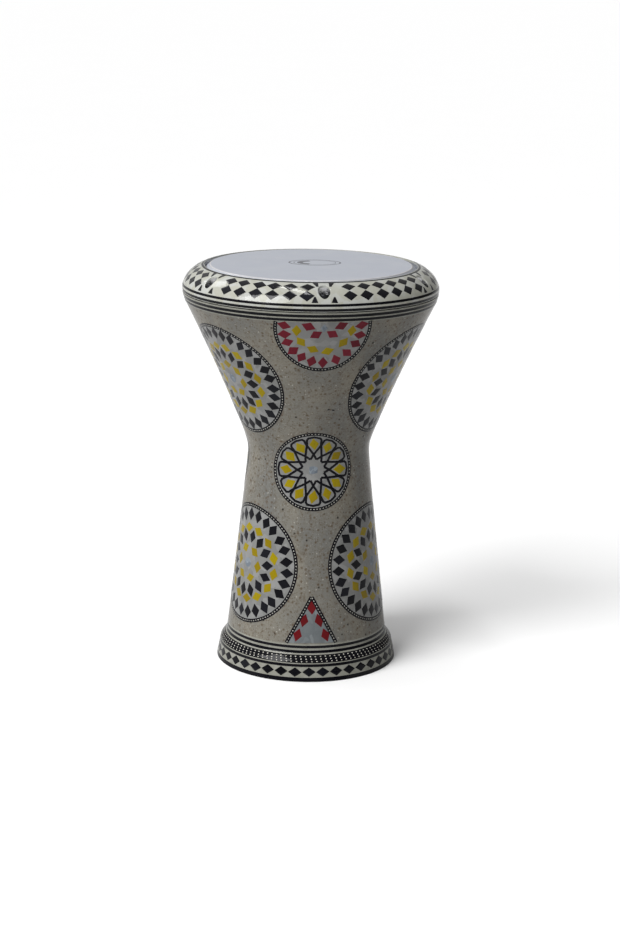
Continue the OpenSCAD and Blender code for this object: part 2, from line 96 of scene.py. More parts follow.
def heightAt(length):
    k = spanOf(arcTable, length)
    return (k + (length - arcTable[k]) / (arcTable[k + 1] - arcTable[k])) * arcStep


def polar(radius, degrees):
    return radius * math.cos(math.radians(degrees)), radius * math.sin(math.radians(degrees))


def turnPoint(p, degrees):
    a = math.radians(degrees)
    return p[0] * math.cos(a) - p[1] * math.sin(a), p[0] * math.sin(a) + p[1] * math.cos(a)


def aroundAxis(azimuth, radius, z):
    a = math.radians(azimuth)
    return Vector((radius * math.sin(a), -radius * math.cos(a), z)) * 0.001


def bodyWrap(azimuth, z):
    # lays a flat pattern on the body: the pattern keeps its shape on the unrolled cone
    k, r0 = math.sin(slopeAt(z)), skinRadius(z)
    start = arcAt(z)

    def place(x, y, lift):
        reach = math.hypot(k * x, r0 + k * y)
        up = heightAt(start + (reach - r0) / k)
        turn = math.atan(k * x / (r0 + k * y))
        r = skinRadius(up)
        return aroundAxis(azimuth + math.degrees(reach / k * turn / r), r + lift, up)
    return place


def newMesh():
    return {"points": [], "faces": [], "tints": []}


def addRings(mesh, rings, closed=True, capped=False, tint=0.5):
    # joins rows of points into quads, and fans the last row to its middle
    base, width = len(mesh["points"]), len(rings[0])
    for ring in rings:
        mesh["points"].extend(ring)
        mesh["tints"].extend([tint] * width)
    for j in range(len(rings) - 1):
        for i in range(width if closed else width - 1):
            a, b = base + j * width + i, base + j * width + (i + 1) % width
            mesh["faces"].append((a, b, b + width, a + width))
    if capped:
        last = base + (len(rings) - 1) * width
        middle = sum(rings[-1], Vector()) / width
        mesh["points"].append(middle)
        mesh["tints"].append(tint)
        for i in range(width):
            mesh["faces"].append((last + i, last + (i + 1) % width, len(mesh["points"]) - 1))


def makePiece(name, mesh, finish, body="shell", stands=(), sharp=35):
    data = bpy.data.meshes.new(name)
    data.from_pydata(mesh["points"], [], mesh["faces"])
    data.validate()
    data.polygons.foreach_set("use_smooth", [True] * len(data.polygons))
    data.set_sharp_from_angle(angle=math.radians(sharp))
    tint = data.attributes.new("chipTint", "FLOAT", "POINT")
    tint.data.foreach_set("value", mesh["tints"][:len(data.vertices)])
    data.materials.append(finishes[finish])
    piece = bpy.data.objects.new(name, data)
    bpy.context.scene.collection.objects.link(piece)
    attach(piece, body)
    if stands:
        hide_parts(*stands)


def turnedRings(outline):
    # one ring of points for each (radius, height) of the outline
    steps = drumBody["roundSteps"]
    return [[aroundAxis(360 * i / steps, r, z) for i in range(steps)] for r, z in outline]


def addTurned(mesh, outline, closed=False):
    addRings(mesh, turnedRings(outline + outline[:1] if closed else outline))


def softenOutline(corners, cut, splits):
    # cuts each corner a little and puts extra points along each edge
    points, count = [], len(corners)
    for i, corner in enumerate(corners):
        before, after = Vector(corners[i - 1]), Vector(corners[(i + 1) % count])
        here = Vector(corner)
        back, ahead = (before - here), (after - here)
        start = here + back.normalized() * cut
        end = here + ahead.normalized() * cut
        points += [start, (start + end + here * 0.7) / 2.7, end]
        stop = after - ahead.normalized() * cut
        points += [end.lerp(stop, k / splits) for k in range(1, splits)]
    return [(p.x, p.y) for p in points]


chipShape = {
    "lift": 0.14,  # how far a chip stands above the skin, mm
    "edgeRound": 0.16, "sink": 0.4, "cornerCut": 0.32, "crown": 0.03,
    "shift": 0.28, "twist": 2.6, "skew": 0.045, "sizeSpread": 0.035, "edgeSplits": 4,
}


def addChip(mesh, corners, wrap, x=0, y=0, turn=0, uneven=1.0,
            lift=chipShape["lift"], crown=chipShape["crown"]):
    # a hand-set chip: its outline is a little off in place, turn and size
    size = 1 + chance.uniform(-1, 1) * chipShape["sizeSpread"] * uneven
    skew = chance.uniform(-1, 1) * chipShape["skew"] * uneven
    turn += chance.uniform(-1, 1) * chipShape["twist"] * uneven
    x += chance.uniform(-1, 1) * chipShape["shift"] * uneven
    y += chance.uniform(-1, 1) * chipShape["shift"] * uneven
    outline = softenOutline([(px * size + skew * py, py * size - skew * px) for px, py in corners],
                            chipShape["cornerCut"], chipShape["edgeSplits"])
    tint, edge = chance.random(), chipShape["edgeRound"]
    rings = []
    for inset, out in ((0, -chipShape["sink"]), (0, lift - edge * 0.6), (edge * 0.3, lift - edge * 0.15),
                       (edge, lift), (1.8, lift + crown), (3.6, lift + crown)):
        ring = []
        for px, py in outline:
            keep = 1 - inset / max(math.hypot(px, py), 2.2)
            qx, qy = turnPoint((px * keep, py * keep), turn)
            ring.append(wrap(x + qx, y + qy, out))
        rings.append(ring)
    addRings(mesh, rings, capped=True, tint=tint)


def diamond(width, height):
    return [(width / 2, 0), (0, height / 2), (-width / 2, 0), (0, -height / 2)]


def addDot(mesh, wrap, x, y, turn, width, height, lift):
    # a small oval bead, flat on top
    tint, sides = chance.random(), 10
    rings = []
    for share, out in ((1, -0.1), (0.96, lift - 0.05), (0.7, lift)):
        ring = []
        for k in range(sides):
            px, py = polar(share / 2, 360 * k / sides)
            qx, qy = turnPoint((px * width, py * height), turn)
            ring.append(wrap(x + qx, y + qy, out))
        rings.append(ring)
    addRings(mesh, rings, capped=True, tint=tint)


def addStrip(mesh, wrap, path, width, lift, closed=True):
    # a thin strip with rounded edges along a flat path
    count, rows = len(path), []
    for i, (x, y) in enumerate(path):
        bx, by = path[i - 1] if closed or i > 0 else path[0]
        ax, ay = path[(i + 1) % count] if closed or i < count - 1 else path[-1]
        inward, outward = Vector((x - bx, y - by)), Vector((ax - x, ay - y))
        if inward.length < 1e-6:
            inward = outward
        if outward.length < 1e-6:
            outward = inward
        inward.normalize()
        outward.normalize()
        along = (inward + outward).normalized()
        side = Vector((-along.y, along.x)) / max(along.dot(outward), 0.6)
        side *= width / 2
        rows.append([wrap(x + side.x * across, y + side.y * across, out) for across, out in (
            (1, -0.3), (1, lift - 0.08), (0.88, lift), (-0.88, lift), (-1, lift - 0.08), (-1, -0.3))])
    if closed:
        rows.append(rows[0])
    addRings(mesh, rows, closed=False)


def splitPath(path, longest=1.6):
    # extra points, so that a straight line still follows the round body
    points = []
    for (ax, ay), (bx, by) in zip(path, path[1:]):
        count = max(math.ceil(math.hypot(bx - ax, by - ay) / longest), 1)
        points += [(ax + (bx - ax) * k / count, ay + (by - ay) * k / count) for k in range(count)]
    return points + [path[-1]]


def addPatch(mesh, wrap, outline, middle, lift, levels=12):
    rings = []
    for level in range(levels + 1):
        keep = 1 - level / (levels + 1)
        rings.append([wrap(middle[0] + (x - middle[0]) * keep, middle[1] + (y - middle[1]) * keep, lift)
                      for x, y in outline])
    edge = [wrap(x, y, -0.3) for x, y in outline]
    addRings(mesh, [edge] + rings, capped=True)


def circlePath(radius, count=96, start=0, end=360, open=False):
    return [polar(radius, start + (end - start) * k / count) for k in range(count + open)]


def pathBeads(path, pitch, closed=True):
    # places (x, y, direction) at even distances along a path
    points = [Vector(p) for p in path] + ([Vector(path[0])] if closed else [])
    lengths = [(b - a).length for a, b in zip(points, points[1:])]
    total = sum(lengths)
    count = max(round(total / pitch), 1)
    found, walked, i = [], 0.0, 0
    for k in range(count):
        want = total * (k + 0.5) / count
        while walked + lengths[i] < want:
            walked += lengths[i]
            i += 1
        here = points[i].lerp(points[i + 1], (want - walked) / lengths[i])
        d = points[i + 1] - points[i]
        found.append((here.x, here.y, math.degrees(math.atan2(d.y, d.x))))
    return found


# effects that several finishes share are node groups

def setInputs(tree, node, inputs):
    # links a socket, sets a plain value, and gives a colour its alpha
    for key, value in inputs.items():
        socket = node.inputs[key]
        if isinstance(value, bpy.types.NodeSocket):
            tree.links.new(value, socket)
        else:
            socket.default_value = (*value, 1) if socket.type == "RGBA" else value


def addNode(tree, kind, inputs=None, **settings):
    made = tree.nodes.new(kind)
    for key, value in settings.items():
        setattr(made, key, value)
    setInputs(tree, made, inputs or {})
    return made


def arrangeNodes(tree, columnWidth=220, rowHeight=190):
    # puts the nodes in columns, from the output back to the inputs
    depth = {node.name: 0 for node in tree.nodes}
    settled = False
    while not settled:
        settled = True
        for link in tree.links:
            source, user = link.from_node.name, link.to_node.name
            if depth[source] <= depth[user]:
                depth[source] = depth[user] + 1
                settled = False
    filled = {}
    for node in tree.nodes:
        column = depth[node.name]
        node.location = (-columnWidth * column, -rowHeight * filled.get(column, 0))
        filled[column] = filled.get(column, 0) + 1


def newGroup(name, inputs):
    tree = bpy.data.node_groups.new(name, "ShaderNodeTree")
    for label, value in inputs.items():
        isColour = isinstance(value, tuple)
        socket = tree.interface.new_socket(name=label, in_out="INPUT",
                                           socket_type="NodeSocketColor" if isColour else "NodeSocketFloat")
        socket.default_value = (*value, 1) if isColour else value
    return tree, addNode(tree, "NodeGroupInput").outputs


def closeGroup(tree, outputs):
    for label, source in outputs.items():
        kind = "NodeSocketColor" if source.type == "RGBA" else "NodeSocketFloat"
        tree.interface.new_socket(name=label, in_out="OUTPUT", socket_type=kind)
    addNode(tree, "NodeGroupOutput", outputs)
    arrangeNodes(tree)
    return tree


def useGroup(tree, group, values):
    return addNode(tree, "ShaderNodeGroup", values, node_tree=group).outputs


def addMath(tree, operation, a, b, clamp=False):
    return addNode(tree, "ShaderNodeMath", {0: a, 1: b}, operation=operation, use_clamp=clamp).outputs[0]


def multiply(tree, a, b, clamp=False):
    return addMath(tree, "MULTIPLY", a, b, clamp)


def addUp(tree, a, b, clamp=False):
    return addMath(tree, "ADD", a, b, clamp)


def subtract(tree, a, b, clamp=False):
    return addMath(tree, "SUBTRACT", a, b, clamp)


def addMix(tree, share, a, b):
    return addNode(tree, "ShaderNodeMix", {0: share, 6: a, 7: b}, data_type="RGBA").outputs[2]


def addRange(tree, value, low, high, toLow=0, toHigh=1):
    return addNode(tree, "ShaderNodeMapRange", {"Value": value, "From Min": low, "From Max": high,
                                                "To Min": toLow, "To Max": toHigh}).outputs[0]


def scaledPlace(tree, scale, stretch=(1, 1, 1)):
    # the piece's own place in space, times a scale
    place = addNode(tree, "ShaderNodeTexCoord").outputs["Object"]
    scaled = addNode(tree, "ShaderNodeVectorMath", {0: place, "Scale": scale}, operation="SCALE").outputs[0]
    return addNode(tree, "ShaderNodeVectorMath", {0: scaled, 1: stretch}, operation="MULTIPLY").outputs[0]


def addNoise(tree, place, scale, detail, rough=0.55):
    return addNode(tree, "ShaderNodeTexNoise",
                   {"Vector": place, "Scale": scale, "Detail": detail, "Roughness": rough}).outputs[0]


def noiseBand(tree, place, scale, detail, rough, low, high):
    # noise spread out between two of its levels
    return addRange(tree, addNoise(tree, place, scale, detail, rough), low, high)


def addCells(tree, place, scale):
    # (distance to the cell's middle, the cell's own random value)
    cells = addNode(tree, "ShaderNodeTexVoronoi", {"Vector": place, "Scale": scale}).outputs
    return cells["Distance"], addNode(tree, "ShaderNodeSeparateColor", {0: cells["Color"]}).outputs[0]


def addBump(tree, height, strength, distance):
    return addNode(tree, "ShaderNodeBump",
                   {"Height": height, "Strength": strength, "Distance": distance}).outputs[0]


def buildLacquerWear():
    # clear lacquer over the mosaic: faint ripple, rubbed patches, hair scratches and settled dust
    tree, given = newGroup("lacquerWear", {
        "Color": (0.5, 0.5, 0.5), "Dust Color": (0.6, 0.58, 0.54), "Dust": 0.3, "Rubbed": 0.3,
        "Scratches": 0.3, "Ripple": 0.3, "Gloss Roughness": 0.12})
    place = scaledPlace(tree, 1.0)
    near = addRange(tree, addCells(tree, place, 620)[0], 0.16, 0.06)
    patches = noiseBand(tree, place, 38, 4, 0.55, 0.50, 0.72)
    specks = addUp(tree, multiply(tree, near, patches), multiply(tree, patches, 0.35))
    dust = multiply(tree, specks, given["Dust"], clamp=True)
    hairs = noiseBand(tree, scaledPlace(tree, 1.0, (1, 1, 0.06)), 900, 2, 0.55, 0.66, 0.74)
    scratch = multiply(tree, hairs, given["Scratches"])
    rub = multiply(tree, noiseBand(tree, place, 14, 5, 0.65, 0.42, 0.75), given["Rubbed"])
    extra = addUp(tree, multiply(tree, rub, 0.16), multiply(tree, scratch, 0.25))
    rough = addUp(tree, addUp(tree, given["Gloss Roughness"], extra), multiply(tree, dust, 0.3), clamp=True)
    ripple = multiply(tree, addNoise(tree, place, 55, 2, 0.4), given["Ripple"])
    return closeGroup(tree, {
        "Color": addMix(tree, dust, given["Color"], given["Dust Color"]),
        "Roughness": rough,
        "Height": subtract(tree, ripple, multiply(tree, scratch, 0.06)),
        "Coat": subtract(tree, 1.0, addUp(tree, rub, dust), clamp=True)})


def buildPearlFlakes():
    # crushed mother-of-pearl in resin: flat flakes of differing grey, with soft streaks
    tree, given = newGroup("pearlFlakes", {
        "Base Color": (0.4, 0.4, 0.4), "Flake Color": (0.5, 0.5, 0.5), "Deep Color": (0.3, 0.3, 0.3),
        "Flake Scale": 160.0, "Flake Amount": 0.5, "Streak Amount": 0.4})
    place = scaledPlace(tree, given["Flake Scale"])
    warp = addNode(tree, "ShaderNodeTexNoise", {"Vector": place, "Scale": 0.35, "Detail": 3}).outputs[1]
    bent = addNode(tree, "ShaderNodeVectorMath", {0: warp, 1: (1.6, 1.6, 1.6), 2: place},
                   operation="MULTIPLY_ADD").outputs[0]
    grey = addCells(tree, bent, 1.0)[1]
    flake = multiply(tree, addRange(tree, grey, 0.3, 0.95), given["Flake Amount"])
    drawn = scaledPlace(tree, given["Flake Scale"], (0.35, 0.35, 0.12))
    streak = multiply(tree, noiseBand(tree, drawn, 1.0, 4, 0.55, 0.4, 0.7), given["Streak Amount"])
    deep = addMix(tree, streak, given["Base Color"], given["Deep Color"])
    return closeGroup(tree, {"Color": addMix(tree, flake, deep, given["Flake Color"])})


def buildChipVariation():
    # each chip has its own shade, and a fine cloud inside it
    tree, given = newGroup("chipVariation", {
        "Color": (0.5, 0.5, 0.5), "Dark Color": (0.3, 0.3, 0.3), "Light Color": (0.7, 0.7, 0.7),
        "Chip Spread": 0.5, "Cloud": 0.3})
    own = addNode(tree, "ShaderNodeAttribute", attribute_name="chipTint").outputs["Fac"]
    shade = given["Color"]
    for low, high, label in ((0.45, 0.0, "Dark Color"), (0.55, 1.0, "Light Color")):
        share = multiply(tree, addRange(tree, own, low, high), given["Chip Spread"])
        shade = addMix(tree, share, shade, given[label])
    cloud = multiply(tree, noiseBand(tree, scaledPlace(tree, 1.0), 320, 4, 0.6, 0.35, 0.75), given["Cloud"])
    return closeGroup(tree, {"Color": addMix(tree, cloud, shade, given["Dark Color"])})


def buildMetalGrain():
    # bare metal: cast pits, tool lines and handling marks
    tree, given = newGroup("metalGrain", {
        "Color": (0.6, 0.6, 0.6), "Stain Color": (0.3, 0.3, 0.3), "Grain Scale": 400.0, "Pits": 0.4,
        "Tool Lines": 0.3, "Stain": 0.3, "Base Roughness": 0.35})
    place = scaledPlace(tree, given["Grain Scale"])
    pits = multiply(tree, noiseBand(tree, place, 1.0, 4, 0.6, 0.58, 0.72), given["Pits"])
    lines = addNoise(tree, scaledPlace(tree, given["Grain Scale"], (0.03, 0.03, 2.0)), 1.0, 2)
    tooled = multiply(tree, lines, given["Tool Lines"])
    stain = multiply(tree, noiseBand(tree, scaledPlace(tree, 24.0), 1.0, 5, 0.65, 0.45, 0.75), given["Stain"])
    shade = addUp(tree, stain, multiply(tree, pits, 0.5), clamp=True)
    extra = addUp(tree, multiply(tree, stain, 0.3), multiply(tree, tooled, 0.15))
    return closeGroup(tree, {
        "Color": addMix(tree, shade, given["Color"], given["Stain Color"]),
        "Roughness": addUp(tree, given["Base Roughness"], extra, clamp=True),
        "Height": subtract(tree, tooled, pits)})


lacquerWear = buildLacquerWear()
pearlFlakes = buildPearlFlakes()
chipVariation = buildChipVariation()
metalGrain = buildMetalGrain()
print("node groups built")


def newFinish(name, uniform):
    material = bpy.data.materials.new(name)
    material.use_nodes = True
    tree = material.node_tree
    tree.nodes.clear()
    shader = addNode(tree, "ShaderNodeBsdfPrincipled", uniform)
    addNode(tree, "ShaderNodeOutputMaterial", {"Surface": shader.outputs[0]})
    return material, tree, shader


lacquer = {
    "coatPeak": 0.26, "ownPeak": {"creamRingResin": 0.7, "ringBlackChip": 0.7},
    "bump": 0.12, "bumpDepth": 0.0012,
    "shader": {"IOR": 1.45, "Specular IOR Level": 0.06, "Coat Roughness": 0.04, "Coat IOR": 1.4},
    "groundWear": {"Dust": 0.08, "Rubbed": 0.3, "Scratches": 0.3, "Ripple": 0.3, "Gloss Roughness": 0.14},
    "chipWear": {"Dust": 0.012, "Rubbed": 0.25, "Scratches": 0.4, "Ripple": 0.25, "Gloss Roughness": 0.12},
    "ownWear": {
        "creamRingResin": {"Gloss Roughness": 0.1},
        "filmPrint": {"Rubbed": 0.6, "Gloss Roughness": 0.4},
        # the lighter ring at the film's bend is painted highlight, a little glossier than the film
        "filmBendPaintedHighlight": {
            "Dust": 0.1, "Rubbed": 0.4, "Scratches": 0.4, "Ripple": 0.1, "Gloss Roughness": 0.25},
    },
}
lacquer["ownWear"]["shellPearlChip"] = lacquer["chipWear"]


def finishLacquered(name, tree, shader, colour, wear):
    # every mosaic finish ends in the same lacquer, with its own amounts
    worn = useGroup(tree, lacquerWear, {"Color": colour, **wear, **lacquer["ownWear"].get(name, {})})
    coatPeak = lacquer["ownPeak"].get(name, lacquer["coatPeak"])
    setInputs(tree, shader, {
        "Base Color": worn["Color"], "Roughness": worn["Roughness"],
        "Coat Weight": multiply(tree, worn["Coat"], coatPeak),
        "Normal": addBump(tree, worn["Height"], lacquer["bump"], lacquer["bumpDepth"])})


stone = {
    "ground": (0.166, 0.163, 0.146), "warm": (0.205, 0.190, 0.156), "grey": (0.122, 0.127, 0.126),
    "brown": (0.072, 0.044, 0.022), "dark": (0.012, 0.010, 0.009), "pale": (0.44, 0.42, 0.38),
    "grit": (0.112, 0.094, 0.068), "ragged": 0.10,
    "clouds": (  # colour, upright stretch, scale, detail, roughness, low and high level, share
        ("warm", 1, 16, 5, 0.6, 0.38, 0.66, 1.0), ("grey", 0.22, 30, 4, 0.55, 0.45, 0.7, 0.75),
        ("grit", 1, 420, 4, 0.7, 0.42, 0.72, 0.55), ("brown", 1, 190, 3, 0.6, 0.56, 0.72, 0.55)),
    "specks": (  # colour, scale, size, rarity, share
        ("brown", 210, 0.40, 0.42, 0.66), ("brown", 420, 0.42, 0.45, 0.5), ("pale", 280, 0.30, 0.80, 0.55),
        ("dark", 150, 0.26, 0.76, 0.9), ("pale", 480, 0.30, 0.62, 0.32)),
    "wear": {"Dust": 0.1, "Rubbed": 0.3, "Scratches": 0.3, "Ripple": 0.35, "Gloss Roughness": 0.13},
}


def makeStone(name):
    material, tree, shader = newFinish(name, lacquer["shader"])
    place = scaledPlace(tree, 1.0)
    base, bands = stone["ground"], {}
    for label, upright, scale, detail, rough, low, high, share in stone["clouds"]:
        stretched = place if upright == 1 else scaledPlace(tree, 1.0, (1, 1, upright))
        bands[label] = noiseBand(tree, stretched, scale, detail, rough, low, high)
        base = addMix(tree, multiply(tree, bands[label], share), base, stone[label])
    for label, scale, size, rarity, share in stone["specks"]:
        distance, own = addCells(tree, place, scale)
        ragged = addUp(tree, distance, multiply(tree, bands["grit"], stone["ragged"]))
        spot = addRange(tree, ragged, size, size * 0.55)
        chosen = addRange(tree, own, rarity, rarity + 0.1)
        base = addMix(tree, multiply(tree, multiply(tree, spot, chosen), share), base, stone[label])
    finishLacquered(name, tree, shader, base, stone["wear"])
    return material


film = {
    "low": (0.335, 0.353, 0.398), "high": (0.356, 0.373, 0.414), "gritColor": (0.30, 0.32, 0.37),
    "gritShare": 0.18, "gritDepth": 0.05, "bump": 0.2, "bumpDepth": 0.0006,
    "shader": {"IOR": 1.5, "Specular IOR Level": 0.45},
    "wear": {"Dust": 0.25, "Rubbed": 0.5, "Scratches": 0.6, "Ripple": 0.1, "Gloss Roughness": 0.42},
}


def makeFilm(name):
    material, tree, shader = newFinish(name, film["shader"])
    place = scaledPlace(tree, 1.0)
    base = addMix(tree, noiseBand(tree, place, 9, 5, 0.6, 0.35, 0.7), film["low"], film["high"])
    grit = noiseBand(tree, place, 1500, 3, 0.7, 0.55, 0.8)
    base = addMix(tree, multiply(tree, grit, film["gritShare"]), base, film["gritColor"])
    worn = useGroup(tree, lacquerWear, {"Color": base, **film["wear"]})
    height = addUp(tree, worn["Height"], multiply(tree, grit, film["gritDepth"]))
    setInputs(tree, shader, {
        "Base Color": worn["Color"], "Roughness": worn["Roughness"],
        "Normal": addBump(tree, height, film["bump"], film["bumpDepth"])})
    return material


pearlLooks = {  # base, flake and deep colours, flake scale, flakes, streaks
    "creamBandResin": ((0.235, 0.235, 0.203), (0.30, 0.30, 0.275), (0.155, 0.152, 0.127), 150.0, 0.45, 0.5),
    "creamRingResin": ((0.36, 0.36, 0.31), (0.43, 0.445, 0.45), (0.27, 0.27, 0.235), 110.0, 0.5, 0.4),
    "greyPearlGround": ((0.185, 0.186, 0.180), (0.27, 0.27, 0.268), (0.120, 0.122, 0.122), 130.0, 0.55, 0.5),
    "bluePearlGround": ((0.140, 0.155, 0.160), (0.205, 0.225, 0.232), (0.090, 0.100, 0.108), 120.0, 0.6, 0.6),
    "shellPearlChip": ((0.135, 0.158, 0.185), (0.23, 0.26, 0.29), (0.070, 0.085, 0.105), 240.0, 0.8, 0.6),
    # painted highlight: the lighter ring laid over the film's bend
    "filmBendPaintedHighlight": ((0.50, 0.49, 0.50), (0.58, 0.58, 0.60), (0.33, 0.32, 0.32), 300.0, 0.3, 0.6),
}
pearlInputs = ("Base Color", "Flake Color", "Deep Color", "Flake Scale", "Flake Amount", "Streak Amount")
chipLooks = {  # own, dark and light colours, spread between chips, cloud
    "blackChip": ((0.003, 0.003, 0.005), (0.001, 0.001, 0.002), (0.007, 0.008, 0.012), 0.8, 0.3),
    "ringBlackChip": ((0.003, 0.003, 0.005), (0.001, 0.001, 0.002), (0.007, 0.008, 0.012), 0.8, 0.3),
    "yellowChip": ((0.245, 0.182, 0.001), (0.175, 0.122, 0.001), (0.30, 0.235, 0.002), 0.7, 0.3),
    "wineRedChip": ((0.120, 0.007, 0.016), (0.075, 0.004, 0.010), (0.165, 0.014, 0.027), 0.7, 0.35),
    "brightRedChip": ((0.105, 0.002, 0.004), (0.070, 0.001, 0.002), (0.14, 0.004, 0.007), 0.6, 0.35),
    "ropeBead": ((0.36, 0.355, 0.32), (0.22, 0.215, 0.19), (0.46, 0.45, 0.41), 0.9, 0.3),
    "creamDot": ((0.46, 0.45, 0.40), (0.30, 0.29, 0.25), (0.55, 0.54, 0.49), 0.8, 0.3),
    "filmPrint": ((0.07, 0.07, 0.08), (0.20, 0.21, 0.23), (0.10, 0.10, 0.11), 0.4, 0.9),
}
chipInputs = ("Color", "Dark Color", "Light Color", "Chip Spread", "Cloud")
metalLooks = {  # colour, stain colour, grain scale, pits, tool lines, stain, roughness, bump
    "castShellMetal": ((0.56, 0.56, 0.57), (0.28, 0.27, 0.26), 700.0, 0.7, 0.25, 0.4, 0.42, 0.5),
    "machinedRingMetal": ((0.70, 0.70, 0.71), (0.42, 0.42, 0.42), 900.0, 0.1, 0.6, 0.15, 0.2, 0.2),
    "fleshHoopMetal": ((0.66, 0.66, 0.68), (0.38, 0.38, 0.38), 800.0, 0.15, 0.5, 0.2, 0.28, 0.2),
    "zincWasherMetal": ((0.52, 0.53, 0.55), (0.34, 0.33, 0.30), 1100.0, 0.2, 0.4, 0.3, 0.3, 0.2),
    "blackOxideSteel": ((0.040, 0.041, 0.047), (0.022, 0.020, 0.018), 1300.0, 0.3, 0.3, 0.4, 0.3, 0.25),
}
metalInputs = ("Color", "Stain Color", "Grain Scale", "Pits", "Tool Lines", "Stain", "Base Roughness")
metalBumpDepth = 0.0004


def makeResin(name, group, values, wear):
    material, tree, shader = newFinish(name, lacquer["shader"])
    finishLacquered(name, tree, shader, useGroup(tree, group, values)["Color"], wear)
    return material


def makeMetal(name, values, bump):
    material, tree, shader = newFinish(name, {"Metallic": 1.0})
    grain = useGroup(tree, metalGrain, values)
    setInputs(tree, shader, {
        "Base Color": grain["Color"], "Roughness": grain["Roughness"],
        "Normal": addBump(tree, grain["Height"], bump, metalBumpDepth)})
    return material


finishes = {"stoneMosaicResin": makeStone("stoneMosaicResin"), "satinHeadFilm": makeFilm("satinHeadFilm")}
for name, look in pearlLooks.items():
    finishes[name] = makeResin(name, pearlFlakes, dict(zip(pearlInputs, look)), lacquer["groundWear"])
for name, look in chipLooks.items():
    finishes[name] = makeResin(name, chipVariation, dict(zip(chipInputs, look)), lacquer["chipWear"])
for name, look in metalLooks.items():
    finishes[name] = makeMetal(name, dict(zip(metalInputs, look)), look[-1])
for material in finishes.values():
    arrangeNodes(material.node_tree)
print("finishes made")


# skins and bands that go round the drum

def skinOutline(low, high, lift, step):
    count = max(int((high - low) / step), 1)
    heights = [low + (high - low) * k / count for k in range(count + 1)]
    kink = drumBody["kinkHeight"]
    if low < kink < high:
        heights = sorted(set(heights + [kink - 0.5, kink - 0.15, kink + 0.15, kink + 0.5]))
    return [(skinRadius(z) + lift, z) for z in heights]


def bandOutline(low, high, lift, deep=0.5, step=1.2, roundOff=0.12):
    # a strip round the body with softened edges
    top = skinOutline(low + roundOff, high - roundOff, lift, step)
    return ([(skinRadius(low) - deep, low), (skinRadius(low) + lift - roundOff, low)] + top
            + [(skinRadius(high) + lift - roundOff, high), (skinRadius(high) - deep, high)])


skins = {  # low and high edge, spacing of the outline's points, finish, slot, CAD node
    "stoneSkin": (39.6, 405.4, 2.2, "stoneMosaicResin", "stone_resin", "shell_skin"),
    "footBand": (0.2, 39.6, 0.9, "creamBandResin", "cream_resin", "foot_band"),
    "topBand": (405.4, 415.5, 0.8, "creamBandResin", "cream_resin", "top_band"),
}
for name, (low, high, step, finish, slot, node) in skins.items():
    mesh = newMesh()
    outer = skinOutline(low, high, 0, step)
    under = [(r - drumBody["skinThickness"], z) for r, z in reversed(outer)]
    addTurned(mesh, outer + under, closed=True)
    makePiece(name, mesh, finish, stands=[node])

darkPits = {  # a few dark chips that sit alone in the stone-coloured skin
    "lift": 0.04,
    "places": (  # azimuth, height, turn, width, depth
        (13.6, 302.3, 20, 3.4, 1.9), (16.9, 301.6, -15, 3.8, 2.0),
        (-0.8, 275, 0, 1.6, 1.3), (-33, 61, 10, 2.2, 1.6)),
}
mesh = newMesh()
for azimuth, height, turn, width, deep in darkPits["places"]:
    addDot(mesh, bodyWrap(azimuth, height), 0, 0, turn, width, deep, darkPits["lift"])
makePiece("stonePits", mesh, "blackChip")

stripes = {
    "lift": 0.12,
    "rows": {  # low and high edge of each stripe, and the CAD node
        "footStripes": (((0.3, 4.7), (16.3, 19.3), (29.6, 32.6), (34.9, 37.8)), "foot_stripes"),
        "footDotBand": (((20.4, 28.2),), "foot_dot_band"),
        "topStripes": (((406.4, 409.3), (410.8, 413.8)), "top_stripes"),
    },
}
for name, (rows, node) in stripes["rows"].items():
    mesh = newMesh()
    for low, high in rows:
        addTurned(mesh, bandOutline(low, high, stripes["lift"]))
    makePiece(name, mesh, "blackChip", stands=[node])

footDots = {"heights": (26.7, 24.3, 22.0), "perRow": 107, "rowShift": 0.12, "size": (1.7, 1.1), "lift": 0.2}
mesh = newMesh()
for row, z in enumerate(footDots["heights"]):
    for k in range(footDots["perRow"]):
        azimuth = 360 * (k + row * footDots["rowShift"]) / footDots["perRow"] + chance.uniform(-0.15, 0.15)

        def onDotBand(x, y, lift, azimuth=azimuth, z=z):
            up = z + y
            return aroundAxis(azimuth + math.degrees(x / skinRadius(up)), skinRadius(up) + lift, up)
        addDot(mesh, onDotBand, 0, chance.uniform(-0.1, 0.1), 0, *footDots["size"], footDots["lift"])
makePiece("footDots", mesh, "creamDot")

footDiamonds = {"count": 40, "first": 2.2, "height": 10.7, "chip": (15.3, 10.6)}
mesh = newMesh()
for k in range(footDiamonds["count"]):
    azimuth = footDiamonds["first"] + 360 * k / footDiamonds["count"]

    def onFoot(x, y, lift, azimuth=azimuth):
        up = footDiamonds["height"] + y * math.cos(slopeAt(footDiamonds["height"]))
        return aroundAxis(azimuth + math.degrees(x / skinRadius(up)), skinRadius(up) + lift, up)
    addChip(mesh, diamond(*footDiamonds["chip"]), onFoot, uneven=0.8)
makePiece("footDiamonds", mesh, "blackChip", stands=["foot_diamonds"])
print("skins and bands made")

# the rope borders, and the round medallions on bowl and foot

rope = {"width": 4.1, "lift": 0.2, "pitch": 3.45, "beadLong": 1.75, "beadWide": 1.2, "beadLift": 0.25}
groundLift = 0.07


def makeRope(name, node, places, path, closed=True, width=rope["width"]):
    strip, beads = newMesh(), newMesh()
    for wrap in places:
        addStrip(strip, wrap, path, width, rope["lift"], closed)
        for x, y, turn in pathBeads(path, rope["pitch"], closed):
            addDot(beads, wrap, x + chance.uniform(-0.12, 0.12), y + chance.uniform(-0.12, 0.12),
                   turn + chance.uniform(-8, 8), rope["beadLong"], rope["beadWide"], rope["beadLift"])
    makePiece(name, strip, "blackChip", stands=[node])
    makePiece(name + "Beads", beads, "ropeBead")


